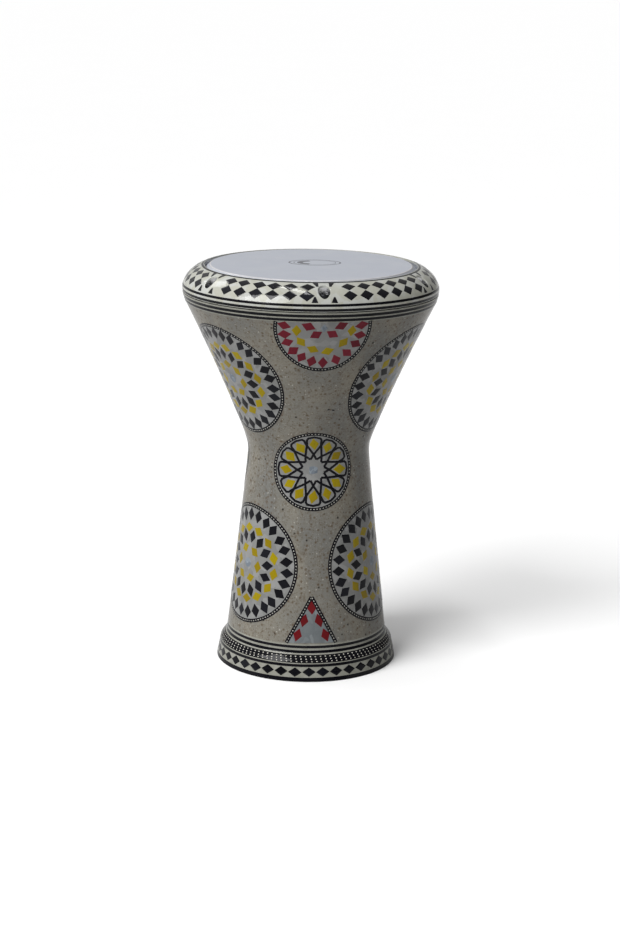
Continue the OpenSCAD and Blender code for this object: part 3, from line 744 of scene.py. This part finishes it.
def makeChipCircle(name, node, places, circle, finish, spin, uneven, shifts=(0, 0, 0)):
    radius, count, first, size = circle
    mesh = newMesh()
    for wrap, shift in zip(places, shifts):
        for k in range(count):
            a = first + 360 * (k + shift) / count + chance.uniform(-0.5, 0.5) * uneven
            r = radius + chance.uniform(-0.3, 0.3) * uneven
            addChip(mesh, diamond(*size), wrap, *polar(r, a), a - 90 + chance.uniform(-1, 1) * spin, uneven)
    makePiece(name, mesh, finish, stands=[node])


medallions = {  # each circle of chips: radius, count, first turn, chip size
    "bowl": {
        "height": 329.3, "radius": 65.5, "shifts": (0, 0.2, 0),
        "blackOuter": (56.6, 29, 2.0, (11.2, 15.8)), "yellowOuter": (40.5, 15, 4.0, (15.4, 10.8)),
        "blackInner": (31.5, 15, 16.0, (10.9, 16.0)), "yellowInner": (18.0, 7, 38.0, (14.4, 10.4)),
    },
    "foot": {
        "height": 119.3, "radius": 64.5, "shifts": (0, 0.25, 0.5),
        "blackOuter": (54.2, 27, 6.0, (11.4, 15.6)), "yellowOuter": (39.5, 14, 6.0, (15.2, 10.8)),
        "blackInner": (30.5, 14, 18.5, (10.9, 15.8)), "yellowInner": (17.0, 6, 25.0, (14.2, 10.4)),
    },
}
for key, medal in medallions.items():
    places = [bodyWrap(patternTurn + 60 + third, medal["height"]) for third in thirds]
    ground, pearls = newMesh(), newMesh()
    for wrap in places:
        addPatch(ground, wrap, circlePath(medal["radius"] - 0.6), (0, 0), groundLift)
        addChip(pearls, circlePath(5.6, 9), wrap, turn=chance.uniform(0, 40), lift=0.1)
    makePiece(key + "Grounds", ground, "greyPearlGround", stands=[key + "_grounds"])
    makePiece(key + "Pearls", pearls, "shellPearlChip", stands=[key + "_pearls"])
    makeRope(key + "Ropes", key + "_ropes", places, circlePath(medal["radius"], 144))
    for side in ("Outer", "Inner"):
        for color in ("black", "yellow"):
            makeChipCircle(key + color.capitalize() + side, f"{key}_{color}_{side.lower()}", places,
                           medal[color + side], color + "Chip", 3.0, 1.2, medal["shifts"])
print("medallions made")

# the interlaced rosettes on the neck

rosette = {
    "height": 231, "radius": 43.4, "petals": 12, "lineWidth": 2.5, "lineLift": 0.15,
    "petalLow": 17.5, "petalTop": 39.5, "petalHalf": 7.9, "starIn": 12.0,
    "yellow": (30.0, 12, 90.0, (10.9, 15.4)), "ropeWidth": 3.8,
    "pearl": ((-4.5, -3.4), (-1, -4.6), (4.4, -3.2), (4.8, 2.6), (0.6, 4.4), (-4.2, 3.4)),
}
places = [bodyWrap(patternTurn - 0.2 + third, rosette["height"]) for third in thirds]
ground, lines, pearls = newMesh(), newMesh(), newMesh()
half = rosette["petalHalf"]
cap = [(half, 35.6), (half - 1.4, 38.0), (0, rosette["petalTop"])]
flank = [(half * 0.94, 28.4)] + cap  # one side of a petal, up to its tip
for wrap in places:
    addPatch(ground, wrap, circlePath(rosette["radius"] - 0.6), (0, 0), groundLift)
    addChip(pearls, rosette["pearl"], wrap, lift=0.1)
    for k in range(rosette["petals"]):
        turn = 360 * k / rosette["petals"]
        # each line starts at an inner corner, crosses its neighbour on the petal's axis and runs up one side
        inner = turnPoint((0, rosette["starIn"]), turn - 15)
        other = turnPoint((0, rosette["starIn"]), turn + 15)
        low = turnPoint((0, rosette["petalLow"]), turn)
        right = [turnPoint(p, turn) for p in flank]
        left = [turnPoint((-px, py), turn) for px, py in reversed(flank[:-1])]
        lift = rosette["lineLift"] + 0.012 * (k % 2)
        path = splitPath([inner, low] + right + left + [low, other])
        addStrip(lines, wrap, path, rosette["lineWidth"], lift, closed=False)
makePiece("rosetteGrounds", ground, "greyPearlGround", stands=["rosette_grounds"])
makePiece("rosetteLines", lines, "blackChip", stands=["rosette_lines"])
makePiece("rosettePearls", pearls, "shellPearlChip", stands=["rosette_pearls"])
makeRope("rosetteRopes", "rosette_ropes", places, circlePath(rosette["radius"], 108),
         width=rosette["ropeWidth"])
makeChipCircle("rosetteYellow", "rosette_yellow", places, rosette["yellow"], "yellowChip",
               14.0, 1.6)
print("rosettes made")

# the half medallions that hang from the top band

halfMedal = {
    "height": 396, "radius": 50.5, "edgeHeight": 405.4, "turn": 1.0,
    "redRadius": 41.1, "redChip": (11.0, 15.4),
    "redTurns": (175.5, 191.6, 206.6, 223.4, 239.6, 256, 272.7, 292.2, 311.5, 330, 346.5, 364),
    "yellow": ((27.6, 183.5), (27.3, 214.5), (26, 248), (27, 283), (27.8, 323), (30.5, 355.5)),
    "yellowChip": (14.8, 10.4),
    "redInner": (  # across, up, turn, chip length and width
        (-15.8, 4.6, -20, 15.8, 11.2), (-7.4, -5.2, 32, 15.0, 10.8),
        (9.8, -5.0, -32, 15.0, 10.8), (18.6, 5.2, 20, 15.8, 11.2)),
    "pearl": (0.6, 3.4, 8, 11),
}
places = [bodyWrap(patternTurn + halfMedal["turn"] + third, halfMedal["height"]) for third in thirds]
k0, r0 = math.sin(slopeAt(halfMedal["height"])), skinRadius(halfMedal["height"])
edgeUp = arcAt(halfMedal["edgeHeight"]) - arcAt(halfMedal["height"])


def bandEdge(x):
    # where the band's level edge lies on the flat pattern
    return (math.sqrt((r0 + k0 * edgeUp) ** 2 - (k0 * x) ** 2) - r0) / k0


startTurn = -math.degrees(math.asin(bandEdge(halfMedal["radius"]) / halfMedal["radius"]))
ground, redOuter, yellow, redInner, pearls = (newMesh() for _ in range(5))
inside = halfMedal["radius"] - 0.6
rim = circlePath(inside, 60, 180 + startTurn, 360 - startTurn, open=True)
halfWidth = polar(inside, startTurn)[0]
top = [(halfWidth * k / 14, bandEdge(halfWidth * k / 14)) for k in range(13, -14, -1)]
for wrap in places:
    addPatch(ground, wrap, rim + top, (0, -8), groundLift)
    reds = [(halfMedal["redRadius"], a) for a in halfMedal["redTurns"]]
    for mesh, size, spots in ((redOuter, halfMedal["redChip"], reds),
                              (yellow, halfMedal["yellowChip"], halfMedal["yellow"])):
        for r, a in spots:
            addChip(mesh, diamond(*size), wrap, *polar(r, a), a - 90 + chance.uniform(-4, 4), 0.9)
    for x, y, turn, long, wide in halfMedal["redInner"]:
        addChip(redInner, diamond(long, wide), wrap, x, y, turn, 0.9)
    x, y, width, height = halfMedal["pearl"]
    addChip(pearls, diamond(width, height), wrap, x, y)
makePiece("halfGrounds", ground, "greyPearlGround", stands=["half_grounds"])
makePiece("halfRedOuter", redOuter, "wineRedChip", stands=["half_red_outer"])
makePiece("halfYellow", yellow, "yellowChip", stands=["half_yellow"])
makePiece("halfRedInner", redInner, "wineRedChip", stands=["half_red_inner"])
makePiece("halfPearls", pearls, "shellPearlChip", stands=["half_pearls"])
makeRope("halfRopes", "half_ropes", places,
         circlePath(halfMedal["radius"], 84, 180 + startTurn, 360 - startTurn, open=True), closed=False)
print("half medallions made")

# the bluish triangles above the foot

triangle = {
    "height": 63, "apex": 29, "base": 26, "low": -22.4,
    "chips": ((0, 17.5, 0, 12.0, 16.6), (8.3, 2.7, 16, 10.2, 16), (15.4, -13.6, 18, 10.0, 16)),
}
places = [bodyWrap(patternTurn - 1 + third, triangle["height"]) for third in thirds]


def trianglePoint(side, share, out=0.0):
    return (side * (triangle["base"] + out) * (1 - share),
            triangle["low"] + (triangle["apex"] - triangle["low"]) * share)


ground, red = newMesh(), newMesh()
outline = ([trianglePoint(1, k / 16) for k in range(17)]
           + [trianglePoint(-1, 1 - k / 16) for k in range(1, 17)]
           + [(triangle["base"] * (k / 6 - 1), triangle["low"]) for k in range(1, 12)])
for wrap in places:
    addPatch(ground, wrap, outline, (0, -6), groundLift)
    for x, y, turn, wide, long in triangle["chips"]:
        for side in ((-1, 1) if x else (1,)):
            addChip(red, diamond(wide, long), wrap, side * x, y, side * turn, 0.8)
makePiece("triangleGrounds", ground, "bluePearlGround", stands=["triangle_grounds"])
makePiece("triangleRed", red, "brightRedChip", stands=["triangle_red"])
strip, beads = newMesh(), newMesh()
for wrap in places:
    for side in (-1, 1):
        path = [trianglePoint(side, 1 - k / 24, 1.6) for k in range(25)]
        addStrip(strip, wrap, path, rope["width"], rope["lift"] + (0.01 if side > 0 else 0), closed=False)
        for x, y, turn in pathBeads(path, rope["pitch"], closed=False):
            addDot(beads, wrap, x, y, turn + chance.uniform(-8, 8),
                   rope["beadLong"], rope["beadWide"], rope["beadLift"])
makePiece("triangleRopes", strip, "blackChip", stands=["triangle_ropes"])
makePiece("triangleRopesBeads", beads, "ropeBead")
print("triangles made")

# the tuning ring, its skin and inlays

ring = {
    "radius": 140, "topHeight": 444.6, "waistHeight": 420.5, "shoulderRadius": 114.3, "fullness": 1.69,
    "lipRadius": 116.2, "lowHeight": 416.7, "skirtRadius": 139.6, "skinThickness": 1.6,
    "boltRadius": 130, "boltTurn": 6.2, "holeRadius": 6.5, "holeRound": 0.35,
    "stripes": ((417.2, 420.0), (422.3, 424.9)), "thread": (116.8, 119.3),
}
bolts = [ring["boltTurn"] + 60 * k for k in range(6)]
ringOutline = []  # (radius, height) from the lip down to the skirt, evenly spaced enough for smooth bending
shoulderWide, shoulderTall = ring["radius"] - ring["shoulderRadius"], ring["topHeight"] - ring["waistHeight"]
power = 2 / ring["fullness"]
edgeT = math.asin(((ring["lipRadius"] - ring["shoulderRadius"]) / shoulderWide) ** (1 / power))
for k in range(161):
    t = edgeT + (math.pi / 2 - edgeT) * k / 160
    ringOutline.append((ring["shoulderRadius"] + shoulderWide * math.sin(t) ** power,
                        ring["waistHeight"] + shoulderTall * max(math.cos(t), 0) ** power))
for k in range(1, 9):
    share = k / 8
    ringOutline.append((ring["radius"] - (ring["radius"] - ring["skirtRadius"]) * share,
                        ring["waistHeight"] - (ring["waistHeight"] - ring["lowHeight"]) * share))
ringArc = [0.0]
for (ra, za), (rb, zb) in zip(ringOutline, ringOutline[1:]):
    ringArc.append(ringArc[-1] + math.hypot(rb - ra, zb - za))
ringLength = ringArc[-1]


def ringPoint(s):
    # (radius, height, outward radius part, outward height part) at a length from the lip
    s = min(max(s, 0), ringLength)
    k = spanOf(ringArc, s)
    (ra, za), (rb, zb) = ringOutline[k], ringOutline[k + 1]
    share = (s - ringArc[k]) / max(ringArc[k + 1] - ringArc[k], 1e-9)
    d = math.hypot(rb - ra, zb - za)
    return ra + (rb - ra) * share, za + (zb - za) * share, -(zb - za) / d, (rb - ra) / d


def ringArcAtRadius(r):
    for k, (ra, _) in enumerate(ringOutline):
        if ra >= r and k:
            r0k = ringOutline[k - 1][0]
            return ringArc[k - 1] + (ringArc[k] - ringArc[k - 1]) * (r - r0k) / max(ra - r0k, 1e-9)
    return ringLength


def ringPlace(azimuth, s, lift=0.0):
    r, z, nr, nz = ringPoint(s)
    return aroundAxis(azimuth, r + nr * lift, z + nz * lift)


def ringWrap(azimuth, s0):
    def place(x, y, lift):
        r = ringPoint(s0 - y)[0]
        return ringPlace(azimuth + math.degrees(x / r), s0 - y, lift)
    return place


def makeRingSkin():
    # a smooth skin with six round holes: a plain grid, and a fan of cells round each hole
    mesh = newMesh()
    holeR, boltR = ring["holeRadius"], ring["boltRadius"]
    winLow, winHigh = ringArcAtRadius(121.2), ringArcAtRadius(138.9)
    winTurn, sideCells, upCells, outerArc = 4.2, 12, 14, ringArcAtRadius(136)
    us = [-winTurn + 2 * winTurn * k / sideCells for k in range(sideCells + 1)]
    vs = [winLow + (winHigh - winLow) * k / upCells for k in range(upCells + 1)]
    border = ([(u, winLow) for u in us] + [(winTurn, v) for v in vs[1:]]
              + [(u, winHigh) for u in reversed(us[:-1])] + [(-winTurn, v) for v in reversed(vs[1:-1])])
    uLines = ([-30 + (30 - winTurn) * k / 22 for k in range(22)] + us
              + [winTurn + (30 - winTurn) * k / 22 for k in range(1, 23)])
    vLines = ([winLow * k / 8 for k in range(8)] + vs
              + [winHigh + (ringLength - winHigh) * k / 12 for k in range(1, 13)])
    known = {}

    def spot(azimuth, s, lift=0.0):
        key = (round(azimuth % 360, 5) % 360, round(s, 5), round(lift, 4))
        if key not in known:
            known[key] = len(mesh["points"])
            mesh["points"].append(ringPlace(azimuth, s, lift))
            mesh["tints"].append(0.5)
        return known[key]

    def holeEdge(u, v, size):
        r = ringPoint(v)[0]
        x, y = r * math.sin(math.radians(u)), r * math.cos(math.radians(u)) - boltR
        if v > outerArc:  # beyond the widest part, so that the fan stays even
            y += (v - outerArc) * 0.6
        a = math.atan2(x, y)
        hx, hy = size * math.sin(a), boltR + size * math.cos(a)
        return math.degrees(math.atan2(hx, hy)), ringArcAtRadius(math.hypot(hx, hy))

    for bolt in bolts:
        for i in range(len(uLines) - 1):
            for j in range(len(vLines) - 1):
                ua, ub, va, vb = uLines[i], uLines[i + 1], vLines[j], vLines[j + 1]
                sideways = -winTurn - 1e-6 <= ua and ub <= winTurn + 1e-6
                if sideways and winLow - 1e-6 <= va and vb <= winHigh + 1e-6:
                    continue  # the fan round the hole fills this part
                corners = ((ua, va), (ua, vb), (ub, vb), (ub, va))
                mesh["faces"].append(tuple(spot(bolt + u, v) for u, v in corners))
        rows = []
        fan = 5
        for k in range(fan + 1):
            row = []
            for u, v in border:
                if k == 0:
                    row.append(spot(bolt + u, v))
                    continue
                hu, hv = holeEdge(u, v, holeR + ring["holeRound"])
                share = k / fan
                row.append(spot(bolt + u + (hu - u) * share, v + (hv - v) * share))
            rows.append(row)
        for size, lift in ((holeR + 0.1, -0.12), (holeR, -0.4), (holeR, -ring["skinThickness"] - 0.6)):
            row = []
            for u, v in border:
                hu, hv = holeEdge(u, v, size)
                p = ringPlace(bolt + hu, hv, 0)
                p.z += lift * 0.001
                mesh["points"].append(p)
                mesh["tints"].append(0.5)
                row.append(len(mesh["points"]) - 1)
            rows.append(row)
        for a, b in zip(rows, rows[1:]):
            for i in range(len(border)):
                j = (i + 1) % len(border)
                mesh["faces"].append((a[i], b[i], b[j], a[j]))
    # turned-in edges at the lip and at the skirt
    lipR, lipZ = ringOutline[0]
    endR, endZ = ringOutline[-1]
    turns = [bolt + u for bolt in bolts for u in uLines[:-1]]
    for outline in ([(lipR, lipZ), (lipR - 0.02, lipZ - 0.3), (lipR, lipZ - ring["skinThickness"])],
                    [(endR, endZ), (endR - 0.15, endZ - 0.02), (endR - ring["skinThickness"], endZ)]):
        rings = [[aroundAxis(turn, r, z) for turn in turns] for r, z in outline]
        if outline[0][1] < 430:
            rings.reverse()
        addRings(mesh, rings[::-1])
    return mesh


makePiece("ringSkin", makeRingSkin(), "creamRingResin", "tuning_ring", ["ring_skin"], sharp=40)


def arcAtHeight(z):
    for k, (_, zk) in enumerate(ringOutline):
        if zk <= z and k:
            zb = ringOutline[k - 1][1]
            return ringArc[k - 1] + (ringArc[k] - ringArc[k - 1]) * (zb - z) / max(zb - zk, 1e-9)
    return ringLength


def addRingStrip(mesh, sLow, sHigh, lift, steps=288):
    rows = []
    spread = [sLow + (sHigh - sLow) * k / 3 for k in range(4)]
    for s, out in ([(sLow, -0.4), (sLow, lift - 0.08)]
                   + [(s, lift) for s in (sLow + 0.1, *spread[1:3], sHigh - 0.1)]
                   + [(sHigh, lift - 0.08), (sHigh, -0.4)]):
        rows.append([ringPlace(360 * i / steps, s, out) for i in range(steps)])
    addRings(mesh, rows[::-1])


stripeMesh, threadMesh = newMesh(), newMesh()
for low, high in ring["stripes"]:
    addRingStrip(stripeMesh, arcAtHeight(high), arcAtHeight(low), 0.09)
addRingStrip(threadMesh, ringArcAtRadius(ring["thread"][0]), ringArcAtRadius(ring["thread"][1]), 0.09)
makePiece("ringStripes", stripeMesh, "blackChip", "tuning_ring", ["ring_stripes"])
makePiece("ringThread", threadMesh, "blackChip", "tuning_ring", ["ring_thread"])

ringChips = {
    "first": 11.7, "step": 7.95, "count": 6, "lift": 0.09,
    "sectorShifts": (0.0, 0.4, -0.3, 0.5, -0.4, 1.1),  # the rows' own turn between each two screws
    "rows": {"upper": (126.0, (16.4, 11.2)), "lower": (134.8, (16.0, 12.2))},  # radius and chip size
}
for row, (radius, size) in ringChips["rows"].items():
    mesh = newMesh()
    for bolt, shift in zip(bolts, ringChips["sectorShifts"]):
        for k in range(ringChips["count"]):
            azimuth = bolt + ringChips["first"] + ringChips["step"] * k + shift + chance.uniform(-0.25, 0.25)
            addChip(mesh, diamond(*size), ringWrap(azimuth, ringArcAtRadius(radius)),
                    turn=chance.uniform(-4, 4), lift=ringChips["lift"], crown=0)
    makePiece(f"ring{row.capitalize()}Chips", mesh, "ringBlackChip", "tuning_ring",
              [f"ring_{row}_tiles"])

ringWedges = {  # two wedges above each screw's hole and two below it, mirrored about the hole
    "upperRadius": 122.6, "upperTurn": 4.0, "lowerRadius": 137.2, "lowerTurn": 4.3, "uneven": 0.6,
    "upper": {-1: [(0.9, -3.6), (3.2, -3.6), (3.0, 3.6), (-3.2, 3.6)],
              1: [(-3.2, -3.6), (-0.9, -3.6), (3.2, 3.6), (-3.0, 3.6)]},
    "lower": [(-3.6, -3.3), (3.6, -3.3), (0.8, 3.4), (-0.8, 3.4)],
}
mesh = newMesh()
for bolt in bolts:
    for side in (-1, 1):
        for row, corners in (("upper", ringWedges["upper"][side]), ("lower", ringWedges["lower"])):
            length = ringArcAtRadius(ringWedges[row + "Radius"])
            wrap = ringWrap(bolt + side * ringWedges[row + "Turn"], length)
            addChip(mesh, corners, wrap, uneven=ringWedges["uneven"], lift=ringChips["lift"], crown=0)
makePiece("ringWedges", mesh, "ringBlackChip", "tuning_ring", ["ring_wedges"])
print("tuning ring made")

# the film head, a lighter ring at its bend that is painted highlight, and a plain oval print

headShape = {
    "topHeight": 444.85, "flatRadius": 109.2, "bend": 1.7,
    "collarRadius": 116.3, "collarHeight": 439.6, "tail": 5,
    "paintedHighlightEnd": 110.5, "printAt": (4.0, 12.0), "printSize": (56.0, 38.0),
}
mesh = newMesh()
outline = [(headShape["flatRadius"] * k / 24, headShape["topHeight"]) for k in range(1, 25)]
bendR, topZ = headShape["flatRadius"], headShape["topHeight"]
for k in range(1, 9):
    a = math.radians(50 * k / 8)
    outline.append((bendR + headShape["bend"] * math.sin(a), topZ - headShape["bend"] * (1 - math.cos(a))))
lastR, lastZ = outline[-1]
for k in range(1, 7):
    share = k / 6
    outline.append((lastR + (headShape["collarRadius"] - 0.6 - lastR) * share,
                    lastZ + (headShape["collarHeight"] - 0.2 - lastZ) * share ** 1.15))
outline += [(headShape["collarRadius"] + 0.4, headShape["collarHeight"] - 0.9),
            (headShape["collarRadius"] + 0.5, headShape["collarHeight"] - headShape["tail"])]
under = [(headShape["collarRadius"] + 0.1, headShape["collarHeight"] - headShape["tail"]),
         (headShape["collarRadius"] - 0.5, headShape["collarHeight"] - 0.9), (bendR + 0.6, topZ - 0.4),
         (bendR, topZ - 0.4)] + [(bendR * k / 4, topZ - 0.4) for k in (3, 2, 1)]
rings = turnedRings(outline + under)
addRings(mesh, rings)
for ringPoints, z in ((rings[0], topZ), (rings[-1], topZ - 0.4)):
    mesh["points"].append(Vector((0, 0, z * 0.001)))
    mesh["tints"].append(0.5)
    base = 0 if z == topZ else (len(rings) - 1) * drumBody["roundSteps"]
    for i in range(drumBody["roundSteps"]):
        j = (i + 1) % drumBody["roundSteps"]
        tri = (base + j, base + i, len(mesh["points"]) - 1)
        mesh["faces"].append(tri if z == topZ else tri[::-1])
makePiece("headFilm", mesh, "satinHeadFilm", "shell", ["head_film"], sharp=50)

# a lighter ring over the film's bend: painted highlight where the curved collar catches the light
mesh = newMesh()
rim = [(r + 0.03, z + 0.03) for r, z in outline if bendR <= r <= headShape["paintedHighlightEnd"]]
addTurned(mesh, [(rim[0][0] - 0.2, rim[0][1] - 0.05), *rim, (rim[-1][0] + 0.02, rim[-1][1] - 0.1)])
makePiece("headBendPaintedHighlight", mesh, "filmBendPaintedHighlight", "shell")


def onFilm(x, y, lift):
    atX, atY = headShape["printAt"]
    return Vector((atX + x, atY + y, headShape["topHeight"] + lift)) * 0.001


mesh = newMesh()
across, deep = headShape["printSize"]
for share, width in ((1.0, 2.0), (0.82, 1.0)):
    addStrip(mesh, onFilm, [(x * across, y * deep) for x, y in circlePath(share / 2)], width, 0.03)
crescent = [(x * across, y * deep) for x, y in (polar(0.29, a) for a in range(110, 251, 5))]
addStrip(mesh, onFilm, crescent, 7.0, 0.02, closed=False)
makePiece("headPrint", mesh, "filmPrint", "shell")
print("head made")

# the six tension screws

screw = {
    "headRadius": 5.0, "headHeight": 6.0, "seatHeight": 428.0, "socketAcross": 5.0, "socketDepth": 3.0,
    "shankRadius": 2.98, "shankLength": 20.0, "pitch": 1.0, "threadDepth": 0.5, "knurls": 40,
}


def socketRadius(turn):
    # distance from the axis to the six-sided socket's wall
    return screw["socketAcross"] / 2 / math.cos(math.radians(turn % 60 - 30))


def makeScrew(name, node, bolt):
    mesh = newMesh()
    steps = screw["knurls"] * 4
    middle = aroundAxis(bolt, ring["boltRadius"], screw["seatHeight"])

    def row(radius, z, knurl=0.0):
        points = []
        for i in range(steps):
            turn = 360 * i / steps
            r = (radius(turn) if callable(radius) else radius) - (knurl if i % 4 in (0, 1) else 0)
            points.append(middle + Vector((*polar(r, turn), z)) * 0.001)
        return points
    head, h = screw["headRadius"], screw["headHeight"]
    rings = [row(screw["shankRadius"], 0), row(head - 0.25, 0), row(head, 0.25, 0.06),
             row(head, h - 1.0, 0.06), row(head - 0.05, h - 0.85), row(head - 0.08, h - 0.5),
             row(head - 0.25, h - 0.15), row(head - 0.6, h),
             row(lambda t: socketRadius(t) + 0.25, h), row(lambda t: socketRadius(t) + 0.02, h - 0.2),
             row(socketRadius, h - screw["socketDepth"]), row(1.2, h - screw["socketDepth"] - 0.5)]
    addRings(mesh, rings, capped=True)
    turnSteps, levels = 28, int(screw["shankLength"] / 0.125)
    shank = []
    for j in range(levels + 1):
        z = -screw["shankLength"] * j / levels
        ringPoints = []
        for i in range(turnSteps):
            phase = (z / screw["pitch"] - i / turnSteps) % 1
            groove = abs(phase - 0.5) * 2
            fade = min(1, (screw["shankLength"] + z) / 1.2) if z < -1 else 1
            r = screw["shankRadius"] - screw["threadDepth"] * groove - 0.5 * (1 - fade)
            ringPoints.append(middle + Vector((*polar(r, 360 * i / turnSteps), z)) * 0.001)
        shank.append(ringPoints)
    addRings(mesh, shank[::-1])
    addRings(mesh, [shank[-1][::-1]], capped=True)
    makePiece(name, mesh, "blackOxideSteel", node, [node], sharp=30)


for k, bolt in enumerate(bolts):
    makeScrew(f"tensionScrew{k + 1}", f"screw_{k + 1}", bolt)
print("screws made")

# CAD pieces that show as they are
shownAsBuilt = {
    "shell": ("castShellMetal", "cast_shell"), "tuning_ring": ("machinedRingMetal", "cast_ring"),
    "flesh_hoop": ("fleshHoopMetal", "hoop_metal"), "screw_washers": ("zincWasherMetal", "washer_steel"),
}
for node, (finish, slot) in shownAsBuilt.items():
    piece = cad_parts[node]
    piece.data.materials.clear()
    piece.data.materials.append(finishes[finish])

# floor, light and camera
studio = {
    "floorSize": 60.0, "floorColor": (0.96, 0.96, 0.96), "floorPale": (0.98, 0.98, 0.98),
    "floorBounce": (0.60, 0.60, 0.60),  # what the floor sends back, which the camera does not see
    "worldTop": 0.73, "worldLow": 0.56, "worldFront": 0.28, "worldRight": 0.12,
    "sunStrength": 3.05, "sunAngle": 38.0, "sunFrom": (-0.72, -0.72, 0.80),
    "boxes": (  # place, aim, width, depth, power
        ((-0.18, -0.16, 1.95), (0, -0.1, 0.43), 1.0, 0.12, 5.0),
        ((-1.7, -0.75, 1.35), (0, 0, 0.38), 0.4, 0.6, 4.0),
        ((-1.10, 0.72, 1.40), (-0.1, -0.08, 0.43), 0.5, 0.5, 3.0),
    ),
}


def makeFloor():
    data = bpy.data.meshes.new("studioFloor")
    s = studio["floorSize"]
    data.from_pydata([(-s, -s, 0), (s, -s, 0), (s, s, 0), (-s, s, 0)], [], [(0, 1, 2, 3)])
    floor = bpy.data.objects.new("studioFloor", data)
    bpy.context.scene.collection.objects.link(floor)
    material, tree, shader = newFinish("palePaper", {"Roughness": 0.9, "Specular IOR Level": 0.0})
    cloud = noiseBand(tree, scaledPlace(tree, 1.0), 3, 2, 0.55, 0.3, 0.7)
    paper = addMix(tree, multiply(tree, cloud, 0.2), studio["floorColor"], studio["floorPale"])
    seen = addNode(tree, "ShaderNodeLightPath").outputs["Is Camera Ray"]
    setInputs(tree, shader, {"Base Color": addMix(tree, seen, studio["floorBounce"], paper)})
    arrangeNodes(tree)
    data.materials.append(material)


def placeLight(light, place, back):
    lamp = bpy.data.objects.new(light.name, light)
    lamp.location = place
    lamp.rotation_mode = "QUATERNION"
    lamp.rotation_quaternion = back.to_track_quat("Z", "Y")
    bpy.context.scene.collection.objects.link(lamp)


def makeLights():
    world = bpy.data.worlds.new("studioWorld")
    bpy.context.scene.world = world
    world.use_nodes = True
    tree = world.node_tree
    tree.nodes.clear()
    direction = addNode(tree, "ShaderNodeTexCoord").outputs["Generated"]
    x, y, z = addNode(tree, "ShaderNodeSeparateXYZ", {0: direction}).outputs
    level = addRange(tree, z, 0.0, 0.8, studio["worldLow"], studio["worldTop"])
    front = addRange(tree, y, -0.2, -0.9, 0, studio["worldLow"] - studio["worldFront"])
    right = addRange(tree, x, 0.1, 0.8, 0, studio["worldLow"] - studio["worldRight"])
    level = addMath(tree, "MAXIMUM", subtract(tree, subtract(tree, level, front), right), 0.1)
    seen = addNode(tree, "ShaderNodeLightPath").outputs["Is Camera Ray"]
    sky = addNode(tree, "ShaderNodeBackground", {"Strength": addMath(tree, "MAXIMUM", level, seen)})
    addNode(tree, "ShaderNodeOutputWorld", {"Surface": sky.outputs[0]})
    arrangeNodes(tree)
    sun = bpy.data.lights.new("softKey", "SUN")
    sun.energy = studio["sunStrength"]
    sun.angle = math.radians(studio["sunAngle"])
    placeLight(sun, (0, 0, 0), Vector(studio["sunFrom"]))
    for k, (place, aim, width, depth, power) in enumerate(studio["boxes"]):
        light = bpy.data.lights.new(f"softBox{k + 1}", "AREA")
        light.shape, light.size, light.size_y, light.energy = "RECTANGLE", width, depth, power
        placeLight(light, place, Vector(place) - Vector(aim))


cameraView = {
    "distance": 2.3802, "elevation": 14.19, "roll": 0.8185, "lens": 82.74,
    "sideways": 0.00192, "aimHeight": 0.21953,
}


def makeCamera():
    data = bpy.data.cameras.new("studioCamera")
    data.sensor_fit, data.sensor_width, data.lens = "AUTO", 36.0, cameraView["lens"]
    data.clip_start, data.clip_end = 0.05, 200
    camera = bpy.data.objects.new("studioCamera", data)
    e = math.radians(cameraView["elevation"])
    back = Vector((0, -math.cos(e), math.sin(e)))
    up = Vector((0, math.sin(e), math.cos(e)))
    place = Vector((cameraView["sideways"], 0, cameraView["aimHeight"])) + back * cameraView["distance"]
    turned = Matrix((Vector((1, 0, 0)), up, back)).transposed().to_4x4()
    roll = Matrix.Rotation(math.radians(cameraView["roll"]), 4, "Z")
    camera.matrix_world = Matrix.Translation(place) @ turned @ roll
    bpy.context.scene.collection.objects.link(camera)
    bpy.context.scene.camera = camera


makeFloor()
makeLights()
makeCamera()
bpy.context.scene.view_settings.view_transform = "Standard"
bpy.context.view_layer.update()
print("studio made")
